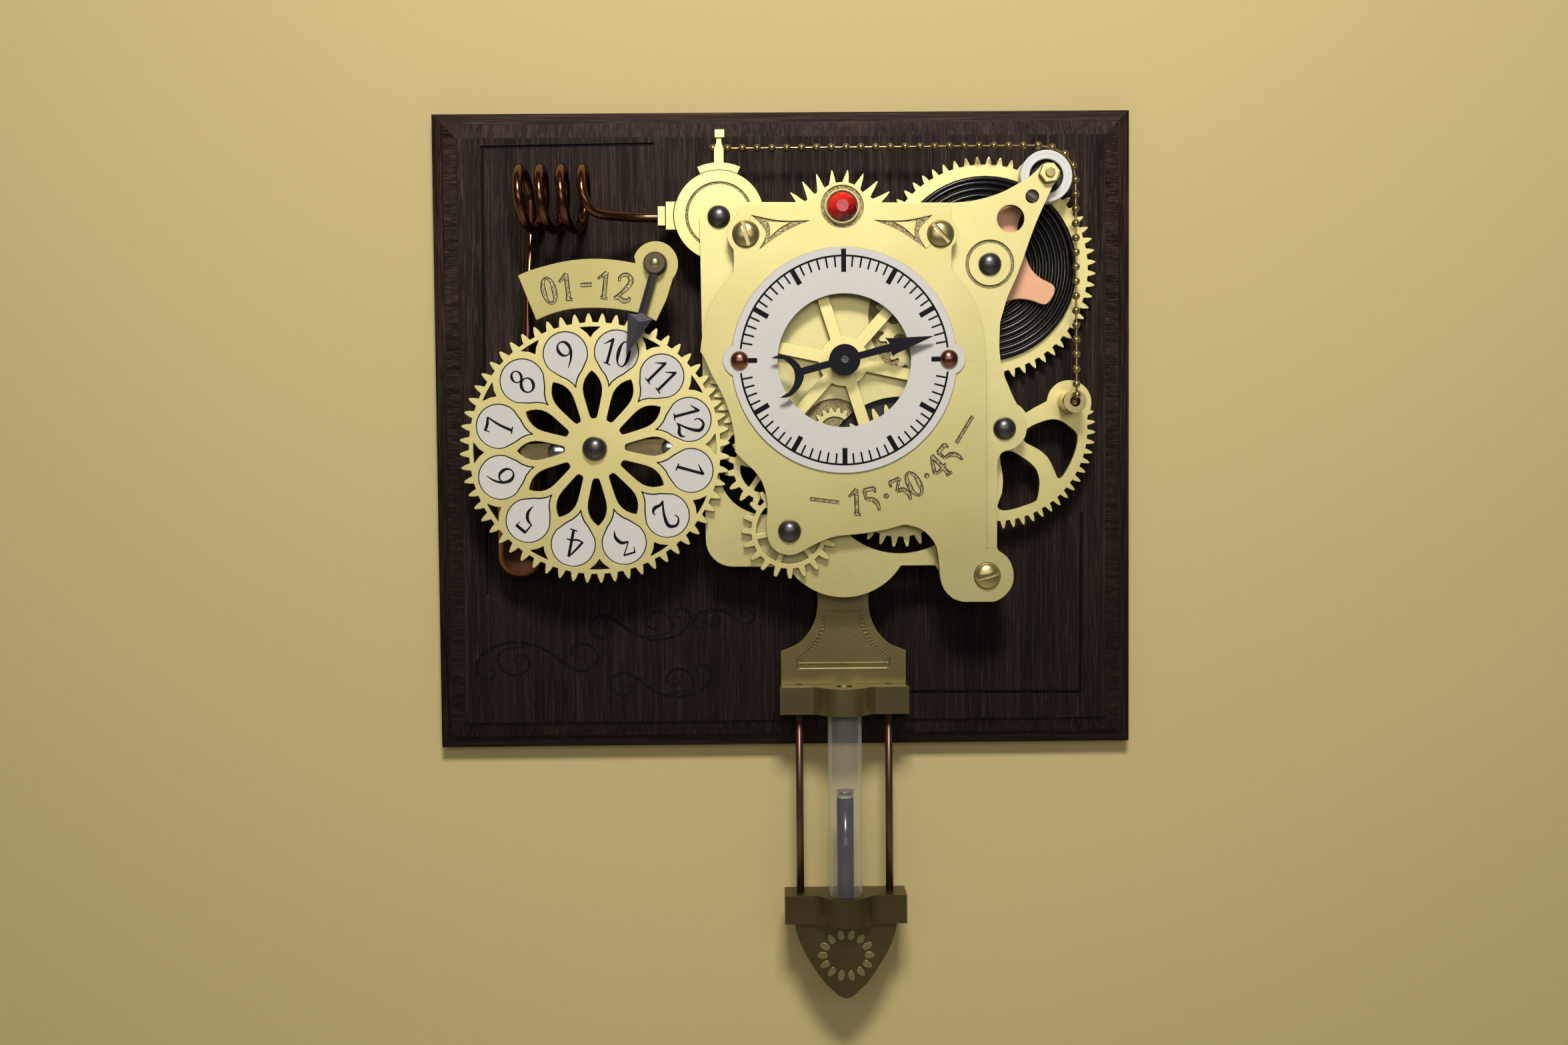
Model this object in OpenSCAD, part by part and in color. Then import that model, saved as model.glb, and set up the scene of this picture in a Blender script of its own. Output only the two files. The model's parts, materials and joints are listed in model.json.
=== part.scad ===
// Wall clock in the form of a brass gear mechanism on a wooden board,
// with a pendulum, a bead chain and copper pipework.
// Frame: X to the right, Z up, the front faces -Y. The wall is the plane y = 0
// and the origin is the centre of the board's back face.
// Inside lay(h) a module is drawn in the plane of the board: x right, y up and
// z the height above the board's front face.

/* [Board] */
// Width of the wooden board
board_w = 300; // [290:1:310]
// Height of the wooden board
board_h = 273.4; // [268:0.2:280]
// Thickness of the wooden board
board_t = 14; // [12:0.5:18]
// Radius of the hanging hole in the back
hang_r = 4; // [3:0.25:5]

/* [Gear train] */
// Teeth on the hour wheel and on the numbered hour gear
teeth_big = 60; // [60:1:60]
// Teeth on the small idler gear
teeth_small = 20; // [20:1:20]
// Module of the large gears
gear_m = 1.806; // [1.8:0.001:1.81]
// X of the dial centre
dial_x = 24.6; // [24:0.1:25.2]
// Z of the dial centre
dial_z = 27.6; // [27:0.1:28.2]
// Direction from the hour gear to the dial centre, degrees
mesh_angle = 18.84; // [18.5:0.01:19.2]
// Direction from the dial centre to the small gear, degrees
small_angle = -108.2; // [-109:0.1:-107.5]
// Distance from the dial centre to the small gear
small_dist = 73.2; // [73:0.1:73.6]

/* [Layers above the board] */
// Back face of the main plate
main_h = 20; // [20:0.5:20]
// Thickness of both brass plates
plate_t = 3; // [3:0.1:3]
// Back face of the large gears
gear_h = 24; // [24:0.1:24.2]
// Thickness of the large gears
gear_t = 3; // [2.8:0.1:3]
// Back face of the front plate
front_h = 28; // [28:0.5:28]

/* [Dial and hands] */
// Outer radius of the dial ring
dial_r = 45.9; // [45:0.1:46.5]
// Inner radius of the dial ring
dial_hole_r = 27.2; // [26.5:0.1:27.5]
// Minute shown by the hand at rest
minute_rest = 12.6; // [12.6:0.1:12.6]
// Length of the minute hand from its centre
hand_len = 37; // [35:0.5:38]

/* [Shafts] */
// Radius of the minute arbor
arbor_r = 1.8; // [1.7:0.05:1.9]
// Radial play of every running fit
play = 0.05; // [0.03:0.01:0.08]

/* [Pendulum] */
// Z of the pendulum pivot
pivot_z = 38; // [36:0.5:40]
// Diameter of the outer rods
rod_d = 3.2; // [3:0.1:3.6]
// Depth of the two cross blocks
block_d = 14; // [13:0.5:14]

/* [Hidden] */
$fn = 48;

dial = [dial_x, dial_z];
big_r = gear_m * teeth_big / 2;
hour_c = dial - 2 * big_r * [cos(mesh_angle), sin(mesh_angle)];
small_c = dial + small_dist * [cos(small_angle), sin(small_angle)];
hour_phase = 2;
wheel_phase = mesh_angle + 180 - (hour_phase - mesh_angle) + 180 / teeth_big;
// the wheel's tooth nearest to the small gear, measured from their line of centres
wheel_off = wheel_phase - small_angle - 6 * round((wheel_phase - small_angle) / 6);
small_phase = small_angle + 180 - wheel_off * teeth_big / teeth_small + 180 / teeth_small;
front_f = front_h + plate_t;
main_f = main_h + plate_t;

// Fixing points on the face, as [x, z]
post_foot = [82.8, -61];
post_low = [-24, -50];
sector_c = [91.3, -0.5];
barrel_c = [85.4, 67.3];
gauge_c = [-26.2, 88.6];
screw_left = [-15.1, 79.2];
screw_right = [64.2, 78.7];
escape_c = [24.2, 80.4];
pulley_c = [109.8, 104.2];
jewel_c = [24.2, 90];
inset_small_c = [-8.3, -16.3];
inset_large_c = [47.8, -19.5];
plaque_pin = [-52, 67.4];
bridge_l = [-93.7, -8.6];
bridge_r = [-46.8, -7.4];
lug_c = [120.1, 10.4];
coil_h = 16.2;
vessel_x = -110.8;
vessel_r = 10.6;
neck_x = -107.6;
chain_d = 3.3;

// ---------- drawing helpers ----------

// The outlines are drawn on a large sheet that stands a little askew to the
// board. sheet() gives the [x, z] in mm of a sheet point at height h.
sheet_eye = [-6.718, -669.015, -13.757];
function sheet(p, h) = let(
    a = (p[0] - 1176) / 2287, b = (784 - p[1]) / 2287,
    dx = 0.99991 * a + 0.00993 + 0.00877 * b,
    dy = -0.01027 * a + 0.99917 + 0.03935 * b,
    dz = -0.00837 * a - 0.03944 + 0.99919 * b,
    t = (-14 - h - sheet_eye[1]) / dy)
    [sheet_eye[0] + t * dx, sheet_eye[2] + t * dz];
function sheets(ps, h) = [for (p = ps) sheet(p, h)];

// open Catmull-Rom curve through the points, n steps a span
function cr(a, b, c, d, t) = 0.5 * (2 * b + (c - a) * t + (2 * a - 5 * b + 4 * c - d) * t * t
    + (3 * b - a - 3 * c + d) * t * t * t);
function curve(ps, n = 3) = let(m = len(ps)) [for (i = [0:m - 2]) for (k = [0:n - 1])
    cr(ps[max(i - 1, 0)], ps[i], ps[i + 1], ps[min(i + 2, m - 1)], k / n), ps[m - 1]];
// the same, closed
function loop(ps, n = 4) = let(m = len(ps)) [for (i = [0:m - 1]) for (k = [0:n - 1])
    cr(ps[(i + m - 1) % m], ps[i], ps[(i + 1) % m], ps[(i + 2) % m], k / n)];
function join(ls) = [for (l = ls) for (p = l) p];
function arc(c, r, a0, a1, n = 12) = [for (i = [0:n]) let(a = a0 + (a1 - a0) * i / n) c + r * [cos(a), sin(a)]];
function polar(r, a) = r * [cos(a), sin(a)];
function turn(p, a) = [p[0] * cos(a) - p[1] * sin(a), p[0] * sin(a) + p[1] * cos(a)];
function ring(r, n, ph = 0) = [for (i = [0:n - 1]) polar(r, ph + 360 / n * i)];

// toothed outline: half widths in degrees at the root, the middle and the tip
function teeth(n, r0, r1, w0, wm, w1, ph, lean = 0) = [for (k = [0:n - 1]) let(a = ph + 360 / n * k)
    each [polar(r0, a - w0), polar((r0 + r1) / 2, a - wm + lean / 2), polar(r1 - 0.3, a - w1 + lean),
        polar(r1, a - w1 / 2 + lean), polar(r1, a + w1 / 2 + lean), polar(r1 - 0.3, a + w1 + lean),
        polar((r0 + r1) / 2, a + wm + lean / 2), polar(r0, a + w0)]];

module lay(h) translate([0, -board_t, 0]) rotate([90, 0, 0]) translate([0, 0, h]) children();
module plate(h0, h1) lay(h0) linear_extrude(h1 - h0) children();
module at(c) translate([c[0], c[1], 0]) children();
module rod(c, r, h0, h1) lay(h0) at(c) cylinder(r = r, h = h1 - h0);
// low dome with a short foot
module dome(c, h, r, rise) lay(h) at(c) rotate_extrude()
    polygon(concat([[0, 0], [r, 0], [r, 0.25]],
        [for (i = [1:11]) [r * cos(i * 90 / 12), 0.25 + (rise - 0.25) * sin(i * 90 / 12)]], [[0, rise]]));
// one window between two spokes, drawn with straight edges
module window(r0, r1, a0, a1, w) {
    b0 = asin((w / 2) / r0); c0 = asin((w / 2) / r1);
    polygon(concat(arc([0, 0], r1, a0 + c0, a1 - c0, 10), arc([0, 0], r0, a1 - b0, a0 + b0, 6)));
}
module spokes(n, r0, r1, w, ph) for (i = [0:n - 1]) window(r0, r1, ph + 360 / n * i, ph + 360 / n * (i + 1), w);

// ---------- board ----------

// cross-section of the board from edge to edge: x along, y height
function board_profile(w) = let(e = w / 2, t = board_t) [
    [-e, -t], [e, -t], [e, -7], [e - 5.3, -4.6], [e - 5.3, -3.4], [e - 11.7, -1.1], [e - 11.7, 0],
    [-e + 11.7, 0], [-e + 11.7, -1.1], [-e + 5.3, -3.4], [-e + 5.3, -4.6], [-e, -7]];
module groove(a, b, w = 1.3) {
    d = b - a; l = norm(d);
    lay(-0.7) translate([a[0], a[1], 0]) rotate([0, 0, atan2(d[1], d[0])]) translate([-w / 2, -w / 2, 0])
        cube([l + w, w, 1]);
}
module backboard() color("#3b2c27") difference() {
    intersection() {
        translate([0, -board_t, board_h / 2]) rotate([90, 0, 0]) rotate([90, 0, 0])
            linear_extrude(board_h) polygon(board_profile(board_w));
        translate([-board_w / 2, -board_t, 0]) rotate([90, 0, 90])
            linear_extrude(board_w) polygon([for (p = board_profile(board_h)) [-p[1], p[0]]]);
    }
    groove(sheet([979, 216], 0), sheet([722, 221], 0));
    groove(sheet([723, 221], 0), sheet([731, 890], 0));
    groove(sheet([1622, 771], 0), sheet([1620, 1038], 0));
    groove(sheet([1620, 1038], 0), sheet([1364, 1038], 0));
    translate([0, -9, 100]) rotate([-90, 0, 0]) cylinder(r = hang_r, h = 12);
}
module board_posts() color("#8f8468") {
    for (c = [post_foot, post_low, sector_c, barrel_c, gauge_c]) rod(c, 3, 0, main_h);
    for (c = [inset_small_c, inset_large_c]) rod(c, 1.5, 0, 22.6);
}

// ---------- brass plates ----------

function main_outline() = let(h = main_f) join([
    [sheet([1100.5, 303], h)],
    curve(sheets([[1430, 304], [1456, 301.6], [1481, 296], [1506, 287], [1528, 275], [1545, 265]], h)),
    arc(pulley_c, 4.6, 150, -20, 12),
    curve(sheets([[1579, 279], [1567, 305], [1555, 332], [1545, 358.5], [1537, 382], [1528, 407], [1520, 426],
        [1511, 446], [1505.5, 465], [1500.5, 483], [1499.5, 500], [1499, 521], [1501, 541], [1505, 559],
        [1514, 582], [1523, 602], [1534, 620], [1538, 632], [1540, 645], [1537, 657], [1529, 667], [1518, 674],
        [1506, 677], [1499, 684], [1496, 693]], h), 2),
    curve(sheets([[1495.5, 822], [1504, 838], [1508, 862], [1502, 882], [1485, 893]], h)),
    curve(sheets([[1445, 893], [1427, 882], [1413, 864], [1403, 848]], h)),
    arc(sheet([1266, 796], h), 27.8, -32, -147, 24),
    [sheet([1140, 850], h)],
    arc(sheet([1099, 810], h), 11.1, -90, -180, 8),
    arc(gauge_c + [0, -1], 7.9, 180, 65, 12)]);
// gear silhouettes for the shallow reliefs
module relief_small() difference() {
    polygon(teeth(19, 8.3, 10.2, 6.2, 4.8, 2.6, 4));
    for (i = [0:2]) rotate([0, 0, 120 * i + 30]) window(2.2, 6.4, 0, 120, 1.6);
}
module relief_large() difference() {
    polygon(teeth(36, 24, 26.5, 3.6, 2.9, 1.6, 0));
    for (i = [0:11]) rotate([0, 0, 30 * i]) translate([19, 0]) circle(r = 2.75);
    circle(r = 13);
}
module main_plate() color("#b9a468") difference() {
    plate(main_h, main_f) difference() {
        polygon(main_outline());
        at(inset_small_c) circle(r = 19);
        at(inset_large_c) circle(r = 32.5);
        at(sheet([1548.4, 294.5], main_f)) circle(r = 2.85);
        at(sheet([1516, 328], main_f)) circle(r = 5.7);
    }
    plate(main_f - 0.9, main_f + 1) at(sheet([1252, 648], main_f)) difference() { circle(r = 13.8); relief_small(); }
    plate(main_f - 0.9, main_f + 1) at(sheet([1409, 476], main_f)) intersection() {
        difference() { circle(r = 29.4); relief_large(); }
        translate([-40, -40]) square([41, 80]);
    }
    plate(main_f - 0.8, main_f + 1) at(barrel_c) difference() { circle(r = 10.1); circle(r = 8.7); }
    rod(dial, 5, main_h - 1, main_f + 1);
    rod(small_c, 2, main_h - 1, main_f + 1);
    rod(pulley_c, 2, main_h - 1, main_f + 1);
}

function front_outline() = let(h = front_f) join([
    curve(sheets([[1109, 308], [1193, 307.5]], h), 1),
    curve(sheets([[1200, 306.5], [1208, 304], [1224, 293], [1235, 283], [1248, 275.5], [1264, 273], [1278, 275.5],
        [1290, 284], [1300.5, 295], [1314, 302.6], [1327, 306.6]], h)),
    [sheet([1427, 307], h)],
    curve(sheets([[1427, 330], [1434, 339], [1437.5, 350.5], [1434, 362], [1427.4, 371]], h)),
    curve(sheets([[1427.4, 404], [1445, 425], [1461, 450], [1471.6, 479], [1477.4, 510], [1478, 538]], h)),
    [sheet([1479.5, 539.5], h), sheet([1479.5, 823.5], h)],
    curve(sheets([[1484, 823.5], [1495, 825], [1511, 836], [1519, 852], [1520.5, 867], [1517.6, 880], [1508, 893],
        [1495, 901.6], [1485, 903]], h)),
    curve(sheets([[1445, 903], [1429.5, 898], [1416, 884], [1410, 865], [1408, 839], [1404.5, 820], [1395, 805],
        [1382, 794], [1369, 789.5], [1356, 787.5], [1335, 793], [1311, 798], [1285, 801.6], [1258, 804], [1240, 809],
        [1222, 817], [1208, 824.5], [1195, 831], [1182, 833], [1166, 828], [1156, 818], [1150.5, 802], [1150, 778],
        [1151.6, 760], [1149, 742], [1143, 723], [1132, 707], [1116, 692], [1102.6, 678]], h), 2),
    curve(sheets([[1102, 657], [1098, 634], [1090, 607], [1079.5, 584], [1068, 563], [1058, 540], [1050.5, 527.6]], h), 2),
    curve(sheets([[1051, 522], [1052, 513], [1056, 489.5], [1064, 463], [1074, 442], [1087, 424], [1100, 408]], h), 2),
    [sheet([1101, 390], h)],
    curve(sheets([[1100, 374], [1094, 366], [1090, 351], [1094, 335.5], [1103, 326]], h))]);
// shallow groove that follows a triangle with hollow sides and leaves its middle standing;
// d has how far the top, the slope and the upright side are drawn in
function tri_outline(t, d, n = 6) = let(p = sheet(t[0], front_f), q = sheet(t[1], front_f), r = sheet(t[2], front_f)) concat(
    curve([p, (p + q) / 2 - [0, d[0]], q], n), curve([q, (q + r) / 2 + [0, d[1]], r], n), curve([r, (r + p) / 2 + [d[2], 0], p], n));
module tri_cut(outer, inner, m) plate(front_f - 0.6, front_f + 1) difference() {
    polygon(tri_outline(outer, [1.2, 1.3, 4.3 * m]));
    polygon(tri_outline(inner, [0.1, 0.7, 0.5 * m]));
}
module front_plate() color("#c4ae70") difference() {
    plate(front_h, front_f) difference() { polygon(front_outline()); at(dial) circle(r = 28.2, $fn = 96); }
    for (c = [screw_left, screw_right, post_foot]) rod(c, 1.6, front_h - 1, front_f + 1);
    for (s = [-1, 1]) rod(dial + [s * 42.7, 0.3], 1.2, front_h - 1, front_f + 1);
    rod(small_c, 2, front_h - 1, front_f + 1);
    tri_cut([[1127, 322.5], [1215, 330.5], [1139, 374]], [[1151.5, 332], [1186, 333.5], [1154.5, 356]], 1);
    tri_cut([[1398.5, 322.5], [1311, 330], [1388.8, 373]], [[1375, 331.5], [1341, 333], [1372.5, 356]], -1);
    plate(front_f - 0.6, front_f + 1) at(jewel_c) difference() { circle(r = 8.75); circle(r = 7.3); }
}
module plate_spacers() color("#b9a468") for (c = [screw_left, screw_right, post_foot]) lay(main_f) at(c)
    difference() { cylinder(r = 3.4, h = front_h - main_f); translate([0, 0, -1]) cylinder(r = 1.6, h = 9); }
module slotted(c, a) lay(front_f) at(c) difference() {
    union() {
        translate([0, 0, -6]) cylinder(r = 1.6, h = 6);
        rotate_extrude() polygon(concat([[0, 0], [5.3, 0], [5.3, 0.8]],
            [for (i = [1:8]) [5.3 * cos(i * 10), 0.8 + 2.3 * sin(i * 10)]], [[0, 3.1]]));
    }
    rotate([0, 0, a]) translate([-6, -0.75, 1.6]) cube([12, 1.5, 3]);
}
module plate_screws() color("#c9b27a") { slotted(screw_left, 104); slotted(screw_right, -49); slotted(post_foot, 16); }
module dome_nails() color("#1d1c1f") {
    for (c = [[gauge_c[0], gauge_c[1] - 1.1], barrel_c, sector_c]) dome(c, main_f, 4.7, 3.3);
    dome(small_c, front_f, 4.7, 3.3);
    dome(hour_c, gear_h + gear_t + 1.6, 5, 3.4);
}

// ---------- dial ----------

module dial_ring() color("#f2f1ec") difference() {
    plate(front_f, front_f + 1) difference() {
        union() {
            at(dial) circle(r = dial_r, $fn = 96);
            for (s = [-1, 1]) at(dial + [s * 42.7, 0.3]) circle(r = 6.7);
        }
        at(dial) circle(r = dial_hole_r, $fn = 96);
    }
    for (s = [-1, 1]) rod(dial + [s * 42.7, 0.3], 1.2, front_f - 1, front_f + 2);
}
module dial_nails() color("#b8683c") for (s = [-1, 1]) {
    dome(dial + [s * 42.7, 0.3], front_f + 1, 3.7, 2.6);
    rod(dial + [s * 42.7, 0.3], 1.2, front_h, front_f + 1);
}
module jewel_bezel() color("#c9b27a") lay(front_f) at(jewel_c) difference() {
    cylinder(r = 6.9, h = 1.1);
    translate([0, 0, 0.4]) cylinder(r = 6.1, h = 3);
}
module jewel() color("#a0151f") lay(front_f + 0.4) at(jewel_c) union() {
    cylinder(r = 6.05, h = 0.9);
    translate([0, 0, 0.9]) cylinder(r1 = 6.05, r2 = 3.6, h = 1.9, $fn = 10);
}
crescent_out = [[-28.7, 8.2], [-24.4, 8.4], [-20, 5.4], [-17.8, 1.2], [-17.6, -2], [-20.4, -6.1], [-25.3, -8.7], [-29.4, -8.2]];
crescent_in = [[-25.5, -7], [-22.9, -4.8], [-21.2, -1.1], [-21.4, 2.7], [-23.9, 6.5]];
module minute_hand() color("#141414") lay(front_f + 4.6) at(dial) difference() {
    rotate([0, 0, 90 - minute_rest * 6]) union() {
        cylinder(r = 6.3, h = 1.2);
        linear_extrude(1.2) polygon([[0, 1.35], [19.2, 1.55], [18.9, 2.6], [18.1, 4.2], [21, 3.4], [hand_len + 0.4, 0], [21, -3],
            [19.2, -3.7], [18.9, -1.5], [0, -1.35]]);
        linear_extrude(1.2) polygon([[0, 1.35], [-18.4, 1.3], [-18.4, -1.7], [0, -1.35]]);
        linear_extrude(1.2) polygon(concat(curve(crescent_out, 4), curve(crescent_in, 4)));
    }
    translate([0, 0, -1]) cylinder(r = 1.5, h = 4);
}

// ---------- hour plaque and pointer ----------

module hours_plaque() color("#bba76f") difference() {
    plate(front_h, front_h + 2) polygon(concat(
        curve(sheets([[776.6, 413], [794.7, 405.6], [825.7, 396.6], [859, 390], [898, 388], [931, 391], [953, 395]], 30)),
        arc(plaque_pin, 9.3, 160, -40, 20),
        curve(sheets([[999.7, 450], [984.3, 482]], 30), 1),
        curve(sheets([[976, 477.5], [959.5, 470], [926, 464], [891, 462], [855, 464], [827, 471], [804.5, 480.5]], 30))));
    rod(plaque_pin, 2.5, front_h - 1, front_h + 3);
}
module plaque_post() color("#2a2320") {
    rod(plaque_pin, 2.5, 0, front_h + 3.6);
    rod(plaque_pin, 4.9, front_h + 2, front_h + 3.4);
}
module hour_pointer() color("#262020") difference() {
    union() {
        rod(plaque_pin, 4.4, front_h + 3.4, front_h + 5);
        plate(front_h + 3.4, front_h + 5)
            polygon(sheets([[978, 400], [990, 400], [969, 474], [978.9, 480.2], [940, 533], [942.7, 470.8], [957, 472]], 32));
    }
    rod(plaque_pin, 2.5, front_h, front_h + 3.6);
}
module pointer_dome() color("#c9b27a") dome(plaque_pin, front_h + 5, 2.8, 2);

// ---------- hour gear ----------

module gear_bridge() color("#b39c62") difference() {
    plate(21.5, 23.5) polygon([[-109, -13.4], [-40.5, -11.2], [-38, -8.6], [-38, -6], [-40.4, -3.2], [-109, -5.3]]);
    for (c = [bridge_l, bridge_r]) rod(c, 1.6, 20, 25);
    rod(hour_c, 2.5, 20, 25);
}
module bridge_posts() color("#8f8468") for (c = [bridge_l, bridge_r]) difference() {
    rod(c, 3, 0, 21.5);
    rod(c, 1.6, 15, 23);
}
module bridge_screws() color("#c6c6c8") for (c = [bridge_l, bridge_r]) {
    rod(c, 1.6, 16, 23.5);
    rod(c, 2.9, 21.5 + 2, 23.9);
}
module hour_gear_stud() color("#c6c6c8") rod(hour_c, 2.5, 21.5, gear_h + gear_t + 1.6);
// leaf-shaped opening along a radius: narrow round end inward, point outward
leaf = [[12.4, 0.9], [13.3, 1.5], [15.5, 2.1], [19, 3], [22, 3.7], [24.3, 3.95], [26.4, 3.7], [28.6, 2.9], [30.6, 1.5]];
module almond() polygon(concat(leaf, [[32, 0]], [for (i = [len(leaf) - 1:-1:0]) [leaf[i][0], -leaf[i][1]]]));
// number tile outline: a disc of radius r drawn out to a point towards the centre
function drop(r, f) = concat(arc([40.5, 0], r, -120, 120, 26),
    [for (q = f) [40.5 - q[0], q[1]]], [for (i = [len(f) - 2:-1:0]) [40.5 - f[i][0], -f[i][1]]]);
module hour_gear() color("#c4ae70") difference() {
    plate(gear_h, gear_h + gear_t) at(hour_c) difference() {
        polygon(teeth(teeth_big, 51.7, 55.4, 1.75, 1.2, 0.5, hour_phase));
        polygon(ring(4.9, 48));
        for (k = [0:11]) rotate([0, 0, 90 + 1.6 - 30 * k]) {
            almond();
            polygon(concat(arc([0, 0], 49.9, -5, 5, 6), [[47.6, 1.6], [45.5, 0], [47.6, -1.6]]));
        }
    }
    plate(gear_h + gear_t - 1.2, gear_h + gear_t + 1) at(hour_c) for (n = [1:12]) rotate([0, 0, 90 - 13.4 - 30 * (n - 10)])
        polygon(drop(9.25, [[8.4, 4.8], [10.3, 2.6], [12.6, 0.9], [14.8, 0]]));
}
module hour_gear_hub() color("#c4ae70") lay(gear_h - 0.3) at(hour_c) difference() {
    cylinder(r = 4.85, h = gear_t + 0.6);
    translate([0, 0, -1]) cylinder(r = 2.5 + play, h = 9);
}
module number_tiles() color("#f2f1ec") plate(gear_h + gear_t - 1.2, gear_h + gear_t - 0.1) at(hour_c)
    for (n = [1:12]) rotate([0, 0, 90 - 13.4 - 30 * (n - 10)])
        polygon(drop(8.92, [[8.15, 4.45], [10, 2.3], [12.1, 0.72], [13.6, 0]]));

// ---------- hour wheel, hour tube, arbor and motion work ----------

module hour_wheel() color("#c4ae70") plate(gear_h, gear_h + gear_t) at(dial) difference() {
    polygon(teeth(teeth_big, 51.7, 55.4, 1.75, 1.2, 0.5, wheel_phase));
    polygon(ring(6.05, 48));
    spokes(6, 10.3, 40, 4.9, 47.9);
}
module hour_tube() color("#b39c62") lay(0) at(dial) difference() {
    union() {
        translate([0, 0, 13]) cylinder(r = 3, h = 17);
        translate([0, 0, gear_h - 0.4]) cylinder(r = 6, h = gear_t + 0.8);
        translate([0, 0, 13]) linear_extrude(2) polygon(teeth(40, 9, 10.1, 2.6, 1.9, 1, 4.5));
    }
    translate([0, 0, 12]) cylinder(r = arbor_r + play, h = 20);
}
motion_c = dial + [12.05, 0];
module motion_wheel() color("#e8e6df") lay(0) at(motion_c) difference() {
    union() {
        translate([0, 0, 9.6]) linear_extrude(2) polygon(teeth(36, 8.4, 9.4, 2.9, 2.1, 1.1, 0));
        translate([0, 0, 11.6]) linear_extrude(3.6) polygon(teeth(10, 1.75, 2.9, 10, 8, 4, 0));
    }
    translate([0, 0, 9]) cylinder(r = 1 + play, h = 8);
}
module minute_arbor() color("#b8b8ba") lay(0) at(dial) {
    translate([0, 0, 8.5]) cylinder(r = arbor_r, h = front_f + 4.6 - 8.5);
    translate([0, 0, front_f + 4.6]) difference() { cylinder(r = 1.5, h = 1.45); translate([0, 0, 0.6]) cylinder(r = 0.95, h = 2); }
    translate([0, 0, 9.4]) linear_extrude(2.4) polygon(teeth(12, 2.2, 3.4, 8.5, 7, 3.4, 15));
}

// ---------- movement ----------

case_a = [dial_x - 26.5, -16.5];
case_b = [dial_x + 26.5, 48];
module case_block(h0, h1, in) lay(h0) translate([case_a[0] + in, case_a[1] + in, 0])
    cube([case_b[0] - case_a[0] - 2 * in, case_b[1] - case_a[1] - 2 * in, h1 - h0]);
module movement_case() color("#17171a") difference() {
    union() {
        difference() { case_block(8, 19.9, 0); case_block(7, 18.8, 1.2); }
        rod(dial, 5, 18, 23.2);
        rod(motion_c, 1, 15, 19);
        rod([dial_x, pivot_z + 3], 2.2, 12, 19);
    }
    rod(dial, 3 + play, 10, 25);
}
module movement_cover() color("#17171a") difference() {
    union() {
        case_block(7, 8, 0);
        rod(motion_c, 1, 7.5, 14.6);
        rod([dial_x, pivot_z], 1.5, 2.6, 7.5);
        rod([dial_x, pivot_z], 2.6, 5.4, 7.2);
    }
    rod(dial, arbor_r + play, 6, 9);
}
module battery() color("#2f4d3c") translate([0, -board_t, 0]) {
    translate([dial_x - 22, -13.4, -9.6]) rotate([0, 90, 0]) cylinder(r = 5.2, h = 43.5);
    translate([dial_x + 21.5, -13.4, -9.6]) rotate([0, 90, 0]) cylinder(r = 1.9, h = 1);
}
module circuit_board() color("#2e6b3c") lay(16.8) translate([dial_x - 24.5, 2, 0]) cube([20, 34, 1.2]);
module drive_coil() color("#a8552c") translate([dial_x - 17, -board_t - 13.3, 8]) {
    cylinder(r = 3.3, h = 20);
    for (z = [-1.2, 20]) translate([0, 0, z]) cylinder(r = 3.4, h = 1.2);
}

// ---------- pendulum ----------

pend_h = 3;
module pendulum_hanger() color("#b8b8ba") difference() {
    union() {
        rod([dial_x, pivot_z], 4.5, pend_h, pend_h + 1.6);
        plate(pend_h, pend_h + 1.6) polygon([for (p = [[-4, 0], [4, 0], [4, -88], [9, -102], [-9, -102], [-4, -88]]) [dial_x + p[0], pivot_z + p[1]]]);
    }
    rod([dial_x, pivot_z], 1.5 + play, 0, 9);
}
function head_side() = curve([[10.9, -74], [11.8, -80], [14.6, -86], [19.5, -91.2], [26.7, -94.4]], 4);
function border_side(d) = curve([[7.9 + d, -78 + d], [8.6 + d, -84.2], [11.6 + d, -90.4], [15.4 + d, -94.4], [19 + 1.4 * d, -97.6]], 4);
function both(side) = concat([for (p = side) [dial_x + p[0], p[1]]],
    [for (i = [len(side) - 1:-1:0]) [dial_x - side[i][0], side[i][1]]]);
module head_plate() color("#a98f55") difference() {
    plate(pend_h + 1.6, pend_h + 4) polygon(concat([[dial_x - 10.9, -60], [dial_x + 10.9, -60]],
        [for (p = head_side()) [dial_x + p[0], p[1]]], [[dial_x + 26.7, -108.6], [dial_x - 26.7, -108.6]],
        [for (i = [len(head_side()) - 1:-1:0]) [dial_x - head_side()[i][0], head_side()[i][1]]]));
    plate(pend_h + 3.6, pend_h + 5) difference() {
        polygon(both(concat(border_side(0.7), [[19.6, -101.8]])));
        polygon(both(concat(border_side(-0.7), [[17.6, -100.2]])));
    }
}
// cross block whose front swells forward at its middle to carry the tube
tube_h = 14;
function block_half(w) = curve([[w / 2, 2 + block_d], [14.5, 2 + block_d], [12.6, 16.3], [11, 17.1], [9.6, 18.6], [8.2, 20.2],
    [6.2, 21.7], [3.3, 22.7], [0, 23]], 3);
module cross_block(w, z0, z1) difference() {
    translate([dial_x, -board_t, z0]) linear_extrude(z1 - z0) polygon(concat([[-w / 2, -2], [w / 2, -2]],
        [for (p = block_half(w)) [p[0], -p[1]]],
        [for (i = [len(block_half(w)) - 2:-1:0]) [-block_half(w)[i][0], -block_half(w)[i][1]]]));
    for (s = [-1, 1]) translate([dial_x + s * 19.1, -board_t - 8, z0 - 1]) cylinder(r = rod_d / 2, h = z1 - z0 + 2);
    translate([dial_x, -board_t - tube_h, z0 - 1]) cylinder(r = 3.6, h = z1 - z0 + 2);
}
module upper_block() color("#b79a5c") cross_block(54.6, -120.2, -108.6);
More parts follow.
